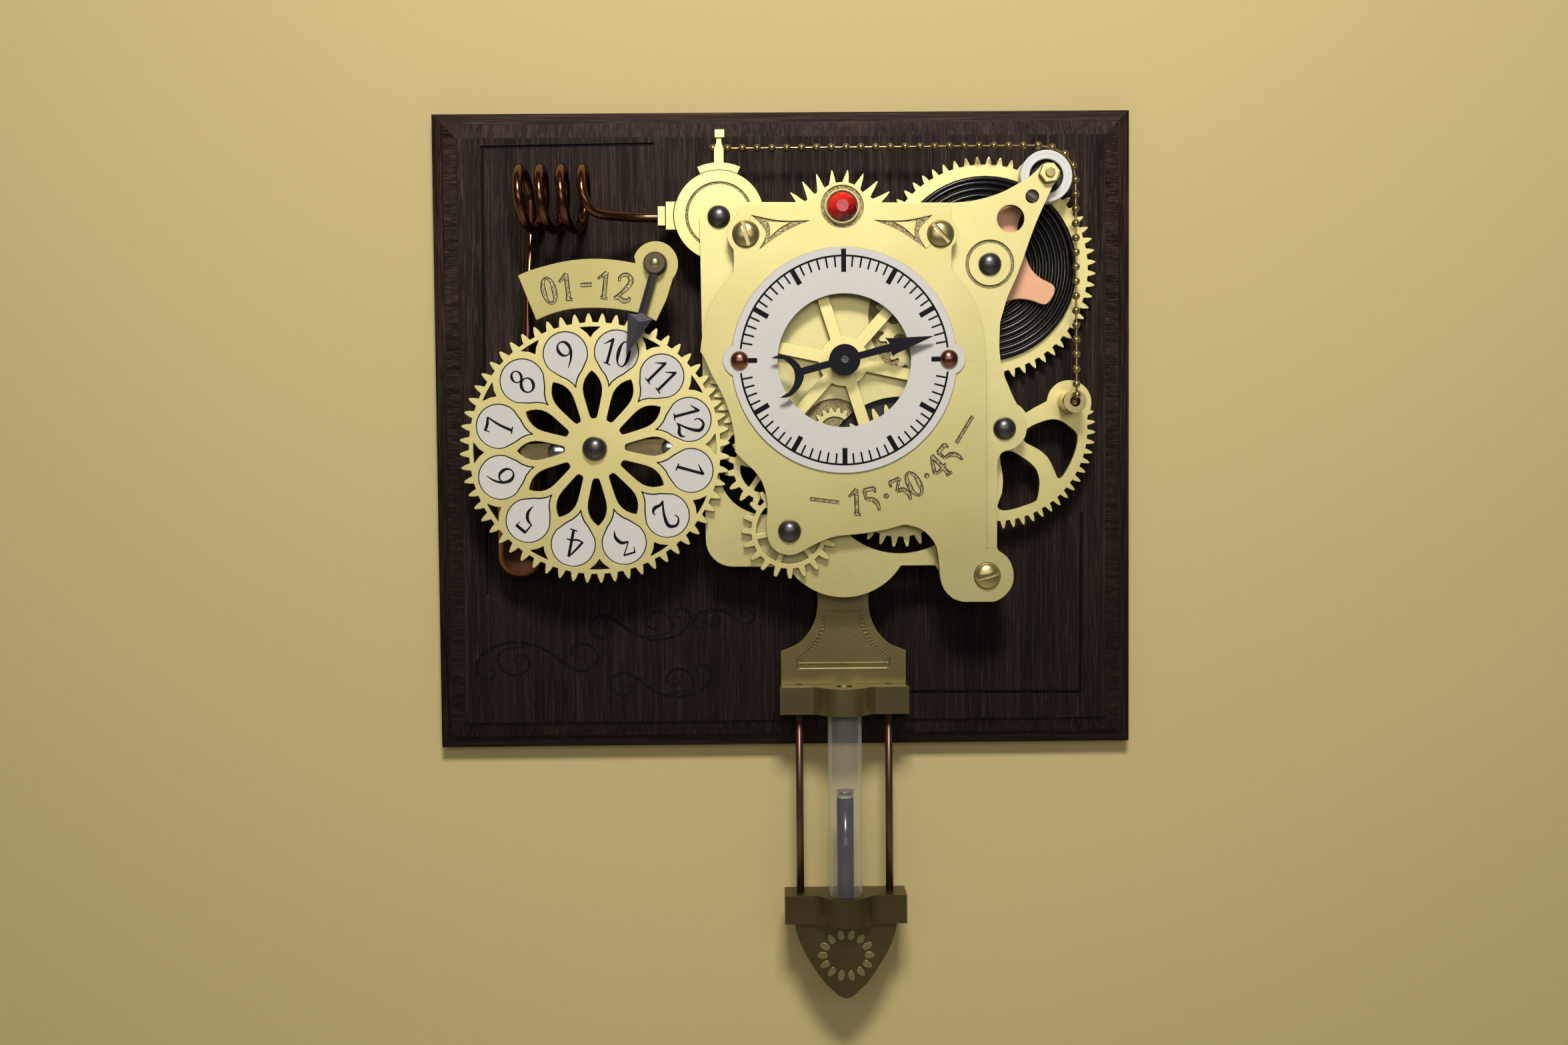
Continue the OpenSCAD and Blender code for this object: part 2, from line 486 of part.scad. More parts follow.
module lower_block() color("#b79a5c") cross_block(51.8, -209.6, -197.4);
module pendulum_rods() color("#a85f38") for (s = [-1, 1])
    translate([dial_x + s * 19.1, -board_t - 8, -209.6]) cylinder(r = rod_d / 2, h = 209.6 - 108.6);
module glass_tube() color("#dfe6ea", 0.35) translate([dial_x, -board_t - tube_h, -197.4]) difference() {
    cylinder(r = 7.2, h = 197.4 - 120.2);
    translate([0, 0, -1]) cylinder(r = 6.5, h = 90);
}
module inner_rod() color("#252338") translate([dial_x, -board_t - tube_h, -209.6])
    cylinder(r = 3.6, h = 209.6 - 155.6);
module tube_cap() color("#c6c6c8") translate([dial_x, -board_t - tube_h, -155.6]) cylinder(r = 3.9, h = 2.6);
function bob_half() = curve([[21.8, -209.6], [20.8, -214.6], [17.9, -221.8], [14, -228.5], [9.4, -235.2], [5.9, -238.6], [2.8, -241.4], [0, -242.4]], 4);
module bob() color("#b79a5c") plate(4, 14) polygon(concat(
    [for (p = bob_half()) [dial_x + p[0], p[1]]],
    [for (i = [len(bob_half()) - 2:-1:0]) [dial_x - bob_half()[i][0], bob_half()[i][1]]]));

// ---------- fixed wheels at the right ----------

module escape_wheel() color("#c4ae70") plate(12, 14.4) at(escape_c) difference() {
    polygon([for (k = [0:25]) let(a = 4 + 360 / 26 * k) each [polar(20.6, a - 7.6), polar(22, a - 6.6), polar(25, a - 5.6),
        polar(27.5, a - 4.4), polar(27.7, a - 3.4), polar(26, a - 2.3), polar(23, a + 0.2), polar(20.6, a + 3.2)]]);
    spokes(5, 6, 17, 3.4, 20);
    circle(r = 2.5);
}
module barrel_wheel() color("#c4ae70") plate(3.6, 6.6) at(barrel_c) difference() {
    polygon(teeth(60, 44, 47.3, 1.75, 1.2, 0.5, 3.4));
    circle(r = 3);
}
function spiral(r0, r1, turns, t, n = 30) = let(m = turns * n)
    concat([for (i = [0:m]) polar(r0 + (r1 - r0) * i / m, 360 * i / n)],
        [for (i = [m:-1:0]) polar(r0 - t + (r1 - r0) * i / m, 360 * i / n)]);
module mainspring() color("#161617") plate(6.6, 9.4) at(barrel_c) rotate([0, 0, -20])
    polygon(spiral(9.5, 38.6, 11, 1.5));
// four rounded arms
module ratchet_hub() color("#a85f38") plate(9.5, 12) at(barrel_c) difference() {
    polygon(loop([for (k = [0:3]) for (q = [[17.4, 16], [18.3, 2], [20.4, -6.4], [24, -11.7], [27.5, -13.6], [29.8, -15.6],
        [30.7, -20], [30.6, -25.7], [29.8, -31.2], [27.6, -33.8], [24.6, -35.2], [21.7, -38.4], [19.1, -43.8], [17.6, -50.6], [16.8, -60]])
        polar(q[0], q[1] - 90 * k)], 2));
    circle(r = 3);
}
module sector_wheel() color("#c4ae70") difference() {
    union() {
        plate(10, 13) at(sector_c - [2, 0.3]) polygon(concat([[0, 0]], [for (k = [0:22]) let(a = 10.2 - 6 * k)
            each [polar(38.5, a + 1.75), polar(40.3, a + 1.2), polar(41.6, a + 0.5), polar(41.8, a + 0.2), polar(41.8, a - 0.2),
                polar(41.6, a - 0.5), polar(40.3, a - 1.2), polar(38.5, a - 1.75)]]));
        plate(10, 13) polygon(sheets([[1500, 600], [1535, 622], [1552, 611.5], [1578, 598], [1632, 622], [1626, 660], [1500, 690]], 13));
        rod(lug_c, 9.4, 10, 13);
        rod(sector_c, 12.5, 10, 13);
    }
    plate(9, 14) polygon(loop(sheets([[1540, 644], [1559, 634], [1578.6, 629], [1593, 632], [1605.5, 641], [1616, 652], [1614, 673],
        [1605.5, 695], [1595, 713], [1589, 718], [1585, 714], [1580, 702], [1571.5, 686], [1559, 675], [1546, 668],
        [1535, 660]], 13), 2));
    plate(9, 14) polygon(loop(sheets([[1500, 686], [1505, 678], [1518, 677], [1532, 685], [1546, 695], [1555, 705.5], [1559, 720],
        [1558.6, 734], [1556, 748], [1552, 753], [1536, 759], [1520, 764], [1505, 766], [1496, 760], [1503, 740], [1504.5, 720], [1503, 706]], 13), 2));
    rod(sector_c, 3, 9, 14);
}
module chain_tube() color("#b39c62") lay(13) at(lug_c) difference() {
    cylinder(r = 4.7, h = 13);
    translate([0, 0, 1]) cylinder(r = 2.2, h = 14);
}
module inset_gear_small() color("#c4ae70") plate(20.4, 22.6) at(inset_small_c) difference() {
    polygon(teeth(16, 12.9, 16.6, 6.4, 4.6, 2.2, 7));
    spokes(5, 4, 10, 2.4, 20);
    circle(r = 1.5);
}
module inset_gear_large() color("#c4ae70") plate(20.4, 22.6) at(inset_large_c) difference() {
    polygon(teeth(33, 25.6, 29.8, 3.2, 2.3, 1, 3));
    spokes(6, 6, 21, 3.6, 12);
    circle(r = 1.5);
}

// ---------- pulley and chain ----------

pulley_h = 11;
module pulley() color("#e4e1d6") lay(pulley_h) at(pulley_c) difference() {
    rotate_extrude() polygon([[0, 0], [10.8, 0], [10.8, 1], [10.2, 2.2], [10.2, 4.6], [10.8, 5.8], [10.8, 7], [9, 7],
        [7, 6.4], [7, 5.4], [4.2, 5.4], [4.2, 7.2], [0, 7.2]]);
    translate([0, 0, -1]) cylinder(r = 2 + play, h = 12);
}
module pulley_screw() color("#c6c6c8") lay(pulley_h - 0.4) at(pulley_c) {
    cylinder(r = 2, h = 17.2);
    translate([0, 0, -1]) cylinder(r = 3.6, h = 1.2);
    translate([0, 0, 7.8]) cylinder(r = 3.4, h = main_h - pulley_h - 7.4);
}
module pulley_nut() color("#c6c6c8") lay(main_f) at(pulley_c) difference() {
    cylinder(r = 4.35, h = 3.2, $fn = 6);
    translate([0, 0, -1]) cylinder(r = 2, h = 6);
}
chain_h = pulley_h + 3.4;
chain_r = 12.75;
chain_a = sheet([1091, 221.5], 16);
chain_top = pulley_c + 13.6 * [sin(-12), cos(-12)];
chain_out = pulley_c + 12.9 * [sin(95), cos(95)];
chain_end = [lug_c[0] + 0.6, lug_c[1] + 7.2];
// points of the chain: level run, a quarter round the pulley, then down to the tube
function chain_pts() = concat(
    [[chain_a[0] - 6.1, chain_a[1] + 0.1, 14.4]],
    [for (i = [0:21]) let(t = i / 21) [chain_a[0] + (chain_top[0] - chain_a[0]) * t,
        chain_a[1] + (chain_top[1] - chain_a[1]) * t, chain_h]],
    [for (a = [14, 41, 68]) [pulley_c[0] + chain_r * sin(a), pulley_c[1] + chain_r * cos(a), chain_h]],
    [for (i = [0:14]) let(t = i / 14) [chain_out[0] + (chain_end[0] - chain_out[0]) * t,
        chain_out[1] + (chain_end[1] - chain_out[1]) * t, chain_h + (25.5 - chain_h) * t]],
    [[lug_c[0] + 0.3, lug_c[1] + 2.6, 28.2], [lug_c[0], lug_c[1], 24.2]]);
// a bead with the link that leads to the next one, turned in one piece
module bead(l) rotate_extrude() polygon(concat(
    [for (i = [0:9]) chain_d / 2 * [sin(i * 18), -cos(i * 18)]],
    l > 0 ? [[0.45, sqrt(pow(chain_d / 2, 2) - 0.2025)], [0.45, l - chain_d / 2 - 0.03], [0, l - chain_d / 2 - 0.03]]
        : [[0, chain_d / 2]]));
module bead_chain() color("#b9b3a2") lay(0) {
    ps = chain_pts();
    for (i = [0:len(ps) - 1]) { d = i < len(ps) - 1 ? ps[i + 1] - ps[i] : ps[i] - ps[i - 1]; l = norm(d);
        translate(ps[i]) rotate([0, acos(d[2] / l), atan2(d[1], d[0])]) bead(i < len(ps) - 1 ? l : 0); }
}

// ---------- gauge, copper tube and vessel ----------

module gauge_disc() color("#b9a468") lay(0) at(gauge_c) difference() {
    translate([0, 0, 12]) cylinder(r = 18.6, h = 7.4);
    translate([0, 0, 18.8]) difference() { cylinder(r = 13.9, h = 2); translate([0, 0, -1]) cylinder(r = 12.9, h = 4); }
    cylinder(r = 3, h = 30);
}
module gauge_fittings() color("#c9b27a") {
    c = gauge_c;
    plate(13.5, 18.5) polygon(concat(arc(c, 22, 66, 114, 8), arc(c, 18.4, 114, 66, 8)));
    plate(16.6, 18.5) at(c) polygon([[-1.9, 21], [-1.9, 27.6], [-1.4, 29], [-0.9, 30.2], [-0.9, 31.2], [-1.4, 32.4], [1.7, 32.4],
        [1.2, 31.2], [1.2, 30.2], [1.6, 29], [2.1, 27.6], [2.1, 21]]);
    lay(15.6) translate([c[0] - 1.5, c[1] + 32, 0]) cube([4, 3.3, 3.9]);
    lay(11.6) translate([c[0] - 22, c[1] - 5.8, 0]) cube([4.4, 11.6, 8]);
    lay(12.6) translate([c[0] - 25.4, c[1] - 4, 0]) cube([3.4, 8, 6.4]);
}
tube_d = 4;
coil_R = 12.5;
coil_x0 = -82.4;
coil_pitch = 8.7;
coil_z = 96.3;
nozzle_z = gauge_c[1] - 0.3;
// centre line of the copper tube, from the nozzle through the coil to the vessel
function tube_path() = concat(
    [[gauge_c[0] - 25.4, nozzle_z, coil_h], [-57, nozzle_z, coil_h + 0.3], [-63, nozzle_z, coil_h + 2], [-68, nozzle_z, coil_h + 4.6],
        [-72.5, nozzle_z, coil_h + 7.4], [-75.6, nozzle_z + 0.5, coil_h + 9.4], [-77.8, nozzle_z + 1.6, coil_h + 10.8],
        [-79.4, nozzle_z + 3.5, coil_h + 11.8], [-80.6, nozzle_z + 6.1, coil_h + 12.4]],
    [for (a = [5:13:1175]) turn(a, coil_x0 - coil_pitch * (a - 90) / 360)],
    [for (a = [1190:15:1265]) turn(a, coil_x0 - 3 * coil_pitch + 0.8 * (a - 1170) / 90)],
    [[-106.4, 90, 3.9], [-106.4, 84, 4.5], [-106.4, 78, 5.8], [-106.5, 72, 7.5], [-106.6, 66, 9.2], [-106.8, 60, 10.3], [-107, 54, 10.6],
        [-107.3, 40, 10.6], [neck_x, 29, 10.6]]);
// a point of the coil at angle a; the backs of the turns lie a little to the right
function turn(a, x) = [x - 1.3 * cos(a), coil_z + coil_R * sin(a), coil_h + coil_R * cos(a)];
function unit(v) = v / norm(v);
function frames(ps, i) = let(m = len(ps), t = unit(ps[min(i + 1, m - 1)] - ps[max(i - 1, 0)]),
    r = unit(cross(t, abs(t[0]) > 0.8 ? [0, 0, 1] : [1, 0, 0]))) [r, cross(t, r)];
module sweep(ps, r, k = 10) {
    m = len(ps);
    // the section keeps its turning steady by carrying the frame along the path
    fr = carry(ps);
    polyhedron(points = [for (i = [0:m - 1]) for (j = [0:k - 1]) ps[i] + r * (cos(360 * j / k) * fr[i][0] + sin(360 * j / k) * fr[i][1])],
        faces = concat([[for (j = [0:k - 1]) j]], [[for (j = [k - 1:-1:0]) (m - 1) * k + j]],
            [for (i = [0:m - 2]) for (j = [0:k - 1]) [i * k + j, (i + 1) * k + j, (i + 1) * k + (j + 1) % k, i * k + (j + 1) % k]]));
}
function tangent(ps, i) = unit(ps[min(i + 1, len(ps) - 1)] - ps[max(i - 1, 0)]);
function next_frame(f, t) = let(a = unit(f - (f * t) * t)) a;
function carry(ps) = [for (i = 0, f = next_frame([0, 0, 1], tangent(ps, 0)); i < len(ps);
    i = i + 1, f = next_frame(f, tangent(ps, min(i, len(ps) - 1)))) [f, cross(tangent(ps, i), f)]];
module copper_tube() color("#b06a42") lay(0) sweep(tube_path(), tube_d / 2);
module copper_vessel() color("#a85f38") {
    translate([neck_x, -board_t - 10.6, 24.5]) cylinder(r = 3.4, h = 6.7);
    translate([vessel_x, -board_t - vessel_r - 0.1, 0]) {
        translate([0, 0, -52]) cylinder(r = vessel_r, h = 76);
        translate([0, 0, 24]) cylinder(r1 = vessel_r, r2 = 3.4, h = 4.2);
        translate([0, 0, -52]) sphere(r = vessel_r);
    }
}

// ---------- small gear ----------

module small_gear() color("#c4ae70") plate(gear_h, gear_h + gear_t) at(small_c) difference() {
    polygon(teeth(teeth_small, 15.8, 19.8, 4.8, 3.7, 2.3, small_phase));
    polygon(ring(4.05, 36));
    spokes(6, 6.4, 13.6, 2.2, 10);
}
module small_gear_hub() color("#c4ae70") lay(gear_h - 0.6) at(small_c) difference() {
    cylinder(r = 4, h = gear_t + 1.2);
    translate([0, 0, -1]) cylinder(r = 2 + play, h = 9);
}
module small_gear_stud() color("#8f8468") rod(small_c, 2, main_h, front_f);

backboard();
board_posts();
main_plate();
front_plate();
plate_spacers();
dome_nails();
plate_screws();
dial_ring();
dial_nails();
jewel_bezel();
jewel();
hours_plaque();
plaque_post();
hour_pointer();
pointer_dome();
gear_bridge();
bridge_posts();
bridge_screws();
hour_gear_stud();
hour_gear();
hour_gear_hub();
number_tiles();
hour_wheel();
hour_tube();
small_gear();
small_gear_hub();
small_gear_stud();
minute_arbor();
minute_hand();
motion_wheel();
movement_case();
movement_cover();
battery();
circuit_board();
drive_coil();
pendulum_hanger();
head_plate();
upper_block();
lower_block();
pendulum_rods();
glass_tube();
inner_rod();
tube_cap();
bob();
escape_wheel();
barrel_wheel();
mainspring();
ratchet_hub();
sector_wheel();
chain_tube();
pulley();
pulley_screw();
pulley_nut();
bead_chain();
gauge_disc();
gauge_fittings();
copper_tube();
copper_vessel();
inset_gear_small();
inset_gear_large();
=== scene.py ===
import json
import math

import bmesh
import bpy
import numpy as np
from mathutils import Matrix, Vector, geometry

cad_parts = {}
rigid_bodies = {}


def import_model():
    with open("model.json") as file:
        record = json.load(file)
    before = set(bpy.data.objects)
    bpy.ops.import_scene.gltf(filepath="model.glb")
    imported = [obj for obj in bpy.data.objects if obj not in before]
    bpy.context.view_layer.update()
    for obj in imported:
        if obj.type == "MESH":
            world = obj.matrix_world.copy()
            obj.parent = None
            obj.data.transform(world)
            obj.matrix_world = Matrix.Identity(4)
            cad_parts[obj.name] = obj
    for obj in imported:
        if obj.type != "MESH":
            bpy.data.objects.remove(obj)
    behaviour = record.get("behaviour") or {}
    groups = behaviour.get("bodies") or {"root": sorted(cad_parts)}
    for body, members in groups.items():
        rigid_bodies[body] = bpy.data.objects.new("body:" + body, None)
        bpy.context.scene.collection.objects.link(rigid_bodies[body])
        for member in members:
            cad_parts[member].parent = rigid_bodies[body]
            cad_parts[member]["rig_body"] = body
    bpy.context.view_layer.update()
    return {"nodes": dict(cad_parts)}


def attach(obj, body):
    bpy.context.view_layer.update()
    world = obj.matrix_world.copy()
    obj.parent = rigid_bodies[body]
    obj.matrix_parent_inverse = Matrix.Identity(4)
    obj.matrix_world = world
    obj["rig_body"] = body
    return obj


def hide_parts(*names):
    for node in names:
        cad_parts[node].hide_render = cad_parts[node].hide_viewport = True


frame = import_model()
NODES = frame["nodes"]

# ------------------------------------------------------------------ geometry
# The same drawing sheet as the construction uses: the x and z in mm of a
# sheet point at height h above the board's face.
EYE = (-6.718, -669.015, -13.757)


def sheet(p, h=0.0):
    a = (p[0] - 1176) / 2287
    b = (784 - p[1]) / 2287
    dx = 0.99991 * a + 0.00993 + 0.00877 * b
    dy = -0.01027 * a + 0.99917 + 0.03935 * b
    dz = -0.00837 * a - 0.03944 + 0.99919 * b
    t = (-14 - h - EYE[1]) / dy
    return (EYE[0] + t * dx, EYE[2] + t * dz)


def sheets(ps, h=0.0):
    return [sheet(p, h) for p in ps]


def V(x, z, h):
    """a point in metres from x, z and the height above the board's face, in mm"""
    return (x / 1000, -(14 + h) / 1000, z / 1000)


DIAL = (24.6, 27.6)
BIG = 1.806 * 30
A_MESH = math.radians(18.84)
HOUR = (DIAL[0] - 2 * BIG * math.cos(A_MESH), DIAL[1] - 2 * BIG * math.sin(A_MESH))
A_SMALL = math.radians(-108.2)
SMALL = (DIAL[0] + 73.2 * math.cos(A_SMALL), DIAL[1] + 73.2 * math.sin(A_SMALL))
FOOT = (82.8, -61)
SECTOR = (91.3, -0.5)
BARREL = (85.4, 67.3)
GAUGE = (-26.2, 88.6)
SCREW_L = (-15.1, 79.2)
SCREW_R = (64.2, 78.7)
ESCAPE = (24.2, 80.4)
PULLEY = (109.8, 104.2)
JEWEL = (24.2, 90.0)
PLAQUE = (-52.0, 67.4)
LUG = (120.1, 10.4)
MAIN_F, GEAR_F, FRONT_F, DIAL_F = 23.0, 27.0, 31.0, 32.0


def cr(a, b, c, d, t):
    return 0.5 * (2 * b + (c - a) * t + (2 * a - 5 * b + 4 * c - d) * t * t + (3 * b - a - 3 * c + d) * t**3)


def curve(ps, n=8, closed=False):
    """Catmull-Rom curve through points of any dimension"""
    ps = [np.array(p, float) for p in ps]
    m = len(ps)
    out = []
    for i in range(m if closed else m - 1):
        if closed:
            q = [ps[(i + k) % m] for k in (-1, 0, 1, 2)]
        else:
            q = [ps[max(i - 1, 0)], ps[i], ps[i + 1], ps[min(i + 2, m - 1)]]
        out += [cr(*q, k / n) for k in range(n)]
    if not closed:
        out.append(ps[-1])
    return [tuple(p) for p in out]


def arc(c, r, a0, a1, n=24):
    return [(c[0] + r * math.cos(math.radians(a0 + (a1 - a0) * i / n)),
             c[1] + r * math.sin(math.radians(a0 + (a1 - a0) * i / n))) for i in range(n + 1)]


def circle(c, r, n=64):
    return arc(c, r, 0, 360, n)[:-1]


def area(loop):
    return sum(a[0] * b[1] - b[0] * a[1] for a, b in zip(loop, loop[1:] + loop[:1])) / 2


def ribbon(ps, w):
    """outline of a stroke along ps, w a width or a list of widths"""
    ps = [np.array(p[:2], float) for p in ps]
    ws = [w] * len(ps) if not hasattr(w, "__len__") else w
    left, right = [], []
    for i, p in enumerate(ps):
        t = ps[min(i + 1, len(ps) - 1)] - ps[max(i - 1, 0)]
        t = t / (np.linalg.norm(t) + 1e-12)
        n = np.array([-t[1], t[0]])
        left.append(tuple(p + n * ws[i] / 2))
        right.append(tuple(p - n * ws[i] / 2))
    return left + right[::-1]


def rot(ps, a, c=(0, 0)):
    s, k = math.sin(math.radians(a)), math.cos(math.radians(a))
    return [(c[0] + p[0] * k - p[1] * s, c[1] + p[0] * s + p[1] * k) for p in ps]


def new_object(name, verts, faces, material, body, smooth=35.0, weld=True):
    me = bpy.data.meshes.new(name)
    me.from_pydata([tuple(v) for v in verts], [], [tuple(f) for f in faces])
    bm = bmesh.new()
    bm.from_mesh(me)
    if weld:
        bmesh.ops.remove_doubles(bm, verts=bm.verts, dist=2e-7)
    bmesh.ops.recalc_face_normals(bm, faces=bm.faces)
    bm.to_mesh(me)
    bm.free()
    me.polygons.foreach_set("use_smooth", [True] * len(me.polygons))
    me.set_sharp_from_angle(angle=math.radians(smooth))
    ob = bpy.data.objects.new(name, me)
    bpy.context.scene.collection.objects.link(ob)
    me.materials.append(material)
    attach(ob, body)
    return ob


def bevel(ob, width, segments=2, angle=30):
    b = ob.modifiers.new("edge", "BEVEL")
    b.width = width / 1000
    b.segments = segments
    b.limit_method = "ANGLE"
    b.angle_limit = math.radians(angle)
    b.harden_normals = True
    b.use_clamp_overlap = True
    b.miter_outer = "MITER_ARC"
    return ob


def prism_mesh(loops, h0, h1, chamfer=0.0):
    """verts and faces of a plate: loops[0] is the outline, the rest are holes"""
    loops = [list(l) for l in loops]
    for i, l in enumerate(loops):
        if (area(l) > 0) != (i == 0):
            loops[i] = l[::-1]
    flat = [p for l in loops for p in l]
    tris = geometry.tessellate_polygon([[Vector((p[0], p[1], 0)) for p in l] for l in loops])
    n = len(flat)
    verts = [V(p[0], p[1], h0) for p in flat] + [V(p[0], p[1], h1) for p in flat]
    faces = [t[::-1] for t in tris] + [tuple(i + n for i in t) for t in tris]
    k = 0
    for l in loops:
        m = len(l)
        faces += [(k + i, k + (i + 1) % m, k + n + (i + 1) % m, k + n + i) for i in range(m)]
        k += m
    return verts, faces


def merge(parts):
    verts, faces = [], []
    for v, f in parts:
        k = len(verts)
        verts += list(v)
        faces += [tuple(i + k for i in q) for q in f]
    return verts, faces


def lathe_mesh(c, profile, n=64, a0=0.0):
    """profile of (radius, height) turned about the line through c, square to the board"""
    verts, rings = [], []
    for r, h in profile:
        if r < 1e-6:
            rings.append([len(verts)])
            verts.append(V(c[0], c[1], h))
        else:
            rings.append(list(range(len(verts), len(verts) + n)))
            verts += [V(c[0] + r * math.cos(a0 + 2 * math.pi * i / n), c[1] + r * math.sin(a0 + 2 * math.pi * i / n), h)
                      for i in range(n)]
    faces = []
    for a, b in zip(rings, rings[1:]):
        if len(a) == 1 and len(b) == 1:
            continue
        for i in range(n):
            j = (i + 1) % n
            if len(a) == 1:
                faces.append((a[0], b[i], b[j]))
            elif len(b) == 1:
                faces.append((a[i], b[0], a[j]))
            else:
                faces.append((a[i], b[i], b[j], a[j]))
    return verts, faces


def upright_mesh(c, profile, n=64):
    """profile of (radius, z) turned about the upright line through x, height c"""
    verts, rings = [], []
    for r, z in profile:
        if r < 1e-6:
            rings.append([len(verts)])
            verts.append(V(c[0], z, c[1]))
        else:
            rings.append(list(range(len(verts), len(verts) + n)))
            verts += [V(c[0] + r * math.cos(2 * math.pi * i / n), z, c[1] + r * math.sin(2 * math.pi * i / n)) for i in range(n)]
    faces = []
    for a, b in zip(rings, rings[1:]):
        for i in range(n):
            j = (i + 1) % n
            if len(a) == 1 and len(b) > 1:
                faces.append((a[0], b[i], b[j]))
            elif len(b) == 1 and len(a) > 1:
                faces.append((a[i], b[0], a[j]))
            elif len(a) > 1:
                faces.append((a[i], b[i], b[j], a[j]))
    return verts, faces


def tube_mesh(path, radii, k=20, up=(0, 0, 1)):
    """a round tube along path (x, z, height) in mm"""
    P = [np.array(V(*p)) for p in path]
    R = radii if hasattr(radii, "__len__") else [radii] * len(P)
    verts, faces = [], []
    f = np.array(up, float)
    for i, p in enumerate(P):
        t = P[min(i + 1, len(P) - 1)] - P[max(i - 1, 0)]
        t = t / np.linalg.norm(t)
        f = f - t * f.dot(t)
        if np.linalg.norm(f) < 1e-3:
            f = np.array([1.0, 0.2, 0.1]) - t * np.array([1.0, 0.2, 0.1]).dot(t)
        f = f / np.linalg.norm(f)
        g = np.cross(t, f)
        r = R[i] / 1000
        verts += [tuple(p + r * (math.cos(2 * math.pi * j / k) * f + math.sin(2 * math.pi * j / k) * g)) for j in range(k)]
    for i in range(len(P) - 1):
        for j in range(k):
            a, b = i * k + j, i * k + (j + 1) % k
            faces.append((a, b, b + k, a + k))
    faces.append(tuple(range(k))[::-1])
    faces.append(tuple((len(P) - 1) * k + j for j in range(k)))
    return verts, faces


def sphere_mesh(c, r, n=20, m=12):
    x, z, h = c
    verts, rings = [], []
    for i in range(m + 1):
        a = math.pi * i / m
        rr, hh = r * math.sin(a), h + r * math.cos(a)
        if i in (0, m):
            rings.append([len(verts)])
            verts.append(V(x, z, hh))
        else:
            rings.append(list(range(len(verts), len(verts) + n)))
            verts += [V(x + rr * math.cos(2 * math.pi * j / n), z + rr * math.sin(2 * math.pi * j / n), hh) for j in range(n)]
    faces = []
    for a, b in zip(rings, rings[1:]):
        for j in range(n):
            q = (j + 1) % n
            if len(a) == 1:
                faces.append((a[0], b[j], b[q]))
            elif len(b) == 1:
                faces.append((a[j], b[0], a[q]))
            else:
                faces.append((a[j], b[j], b[q], a[q]))
    return verts, faces


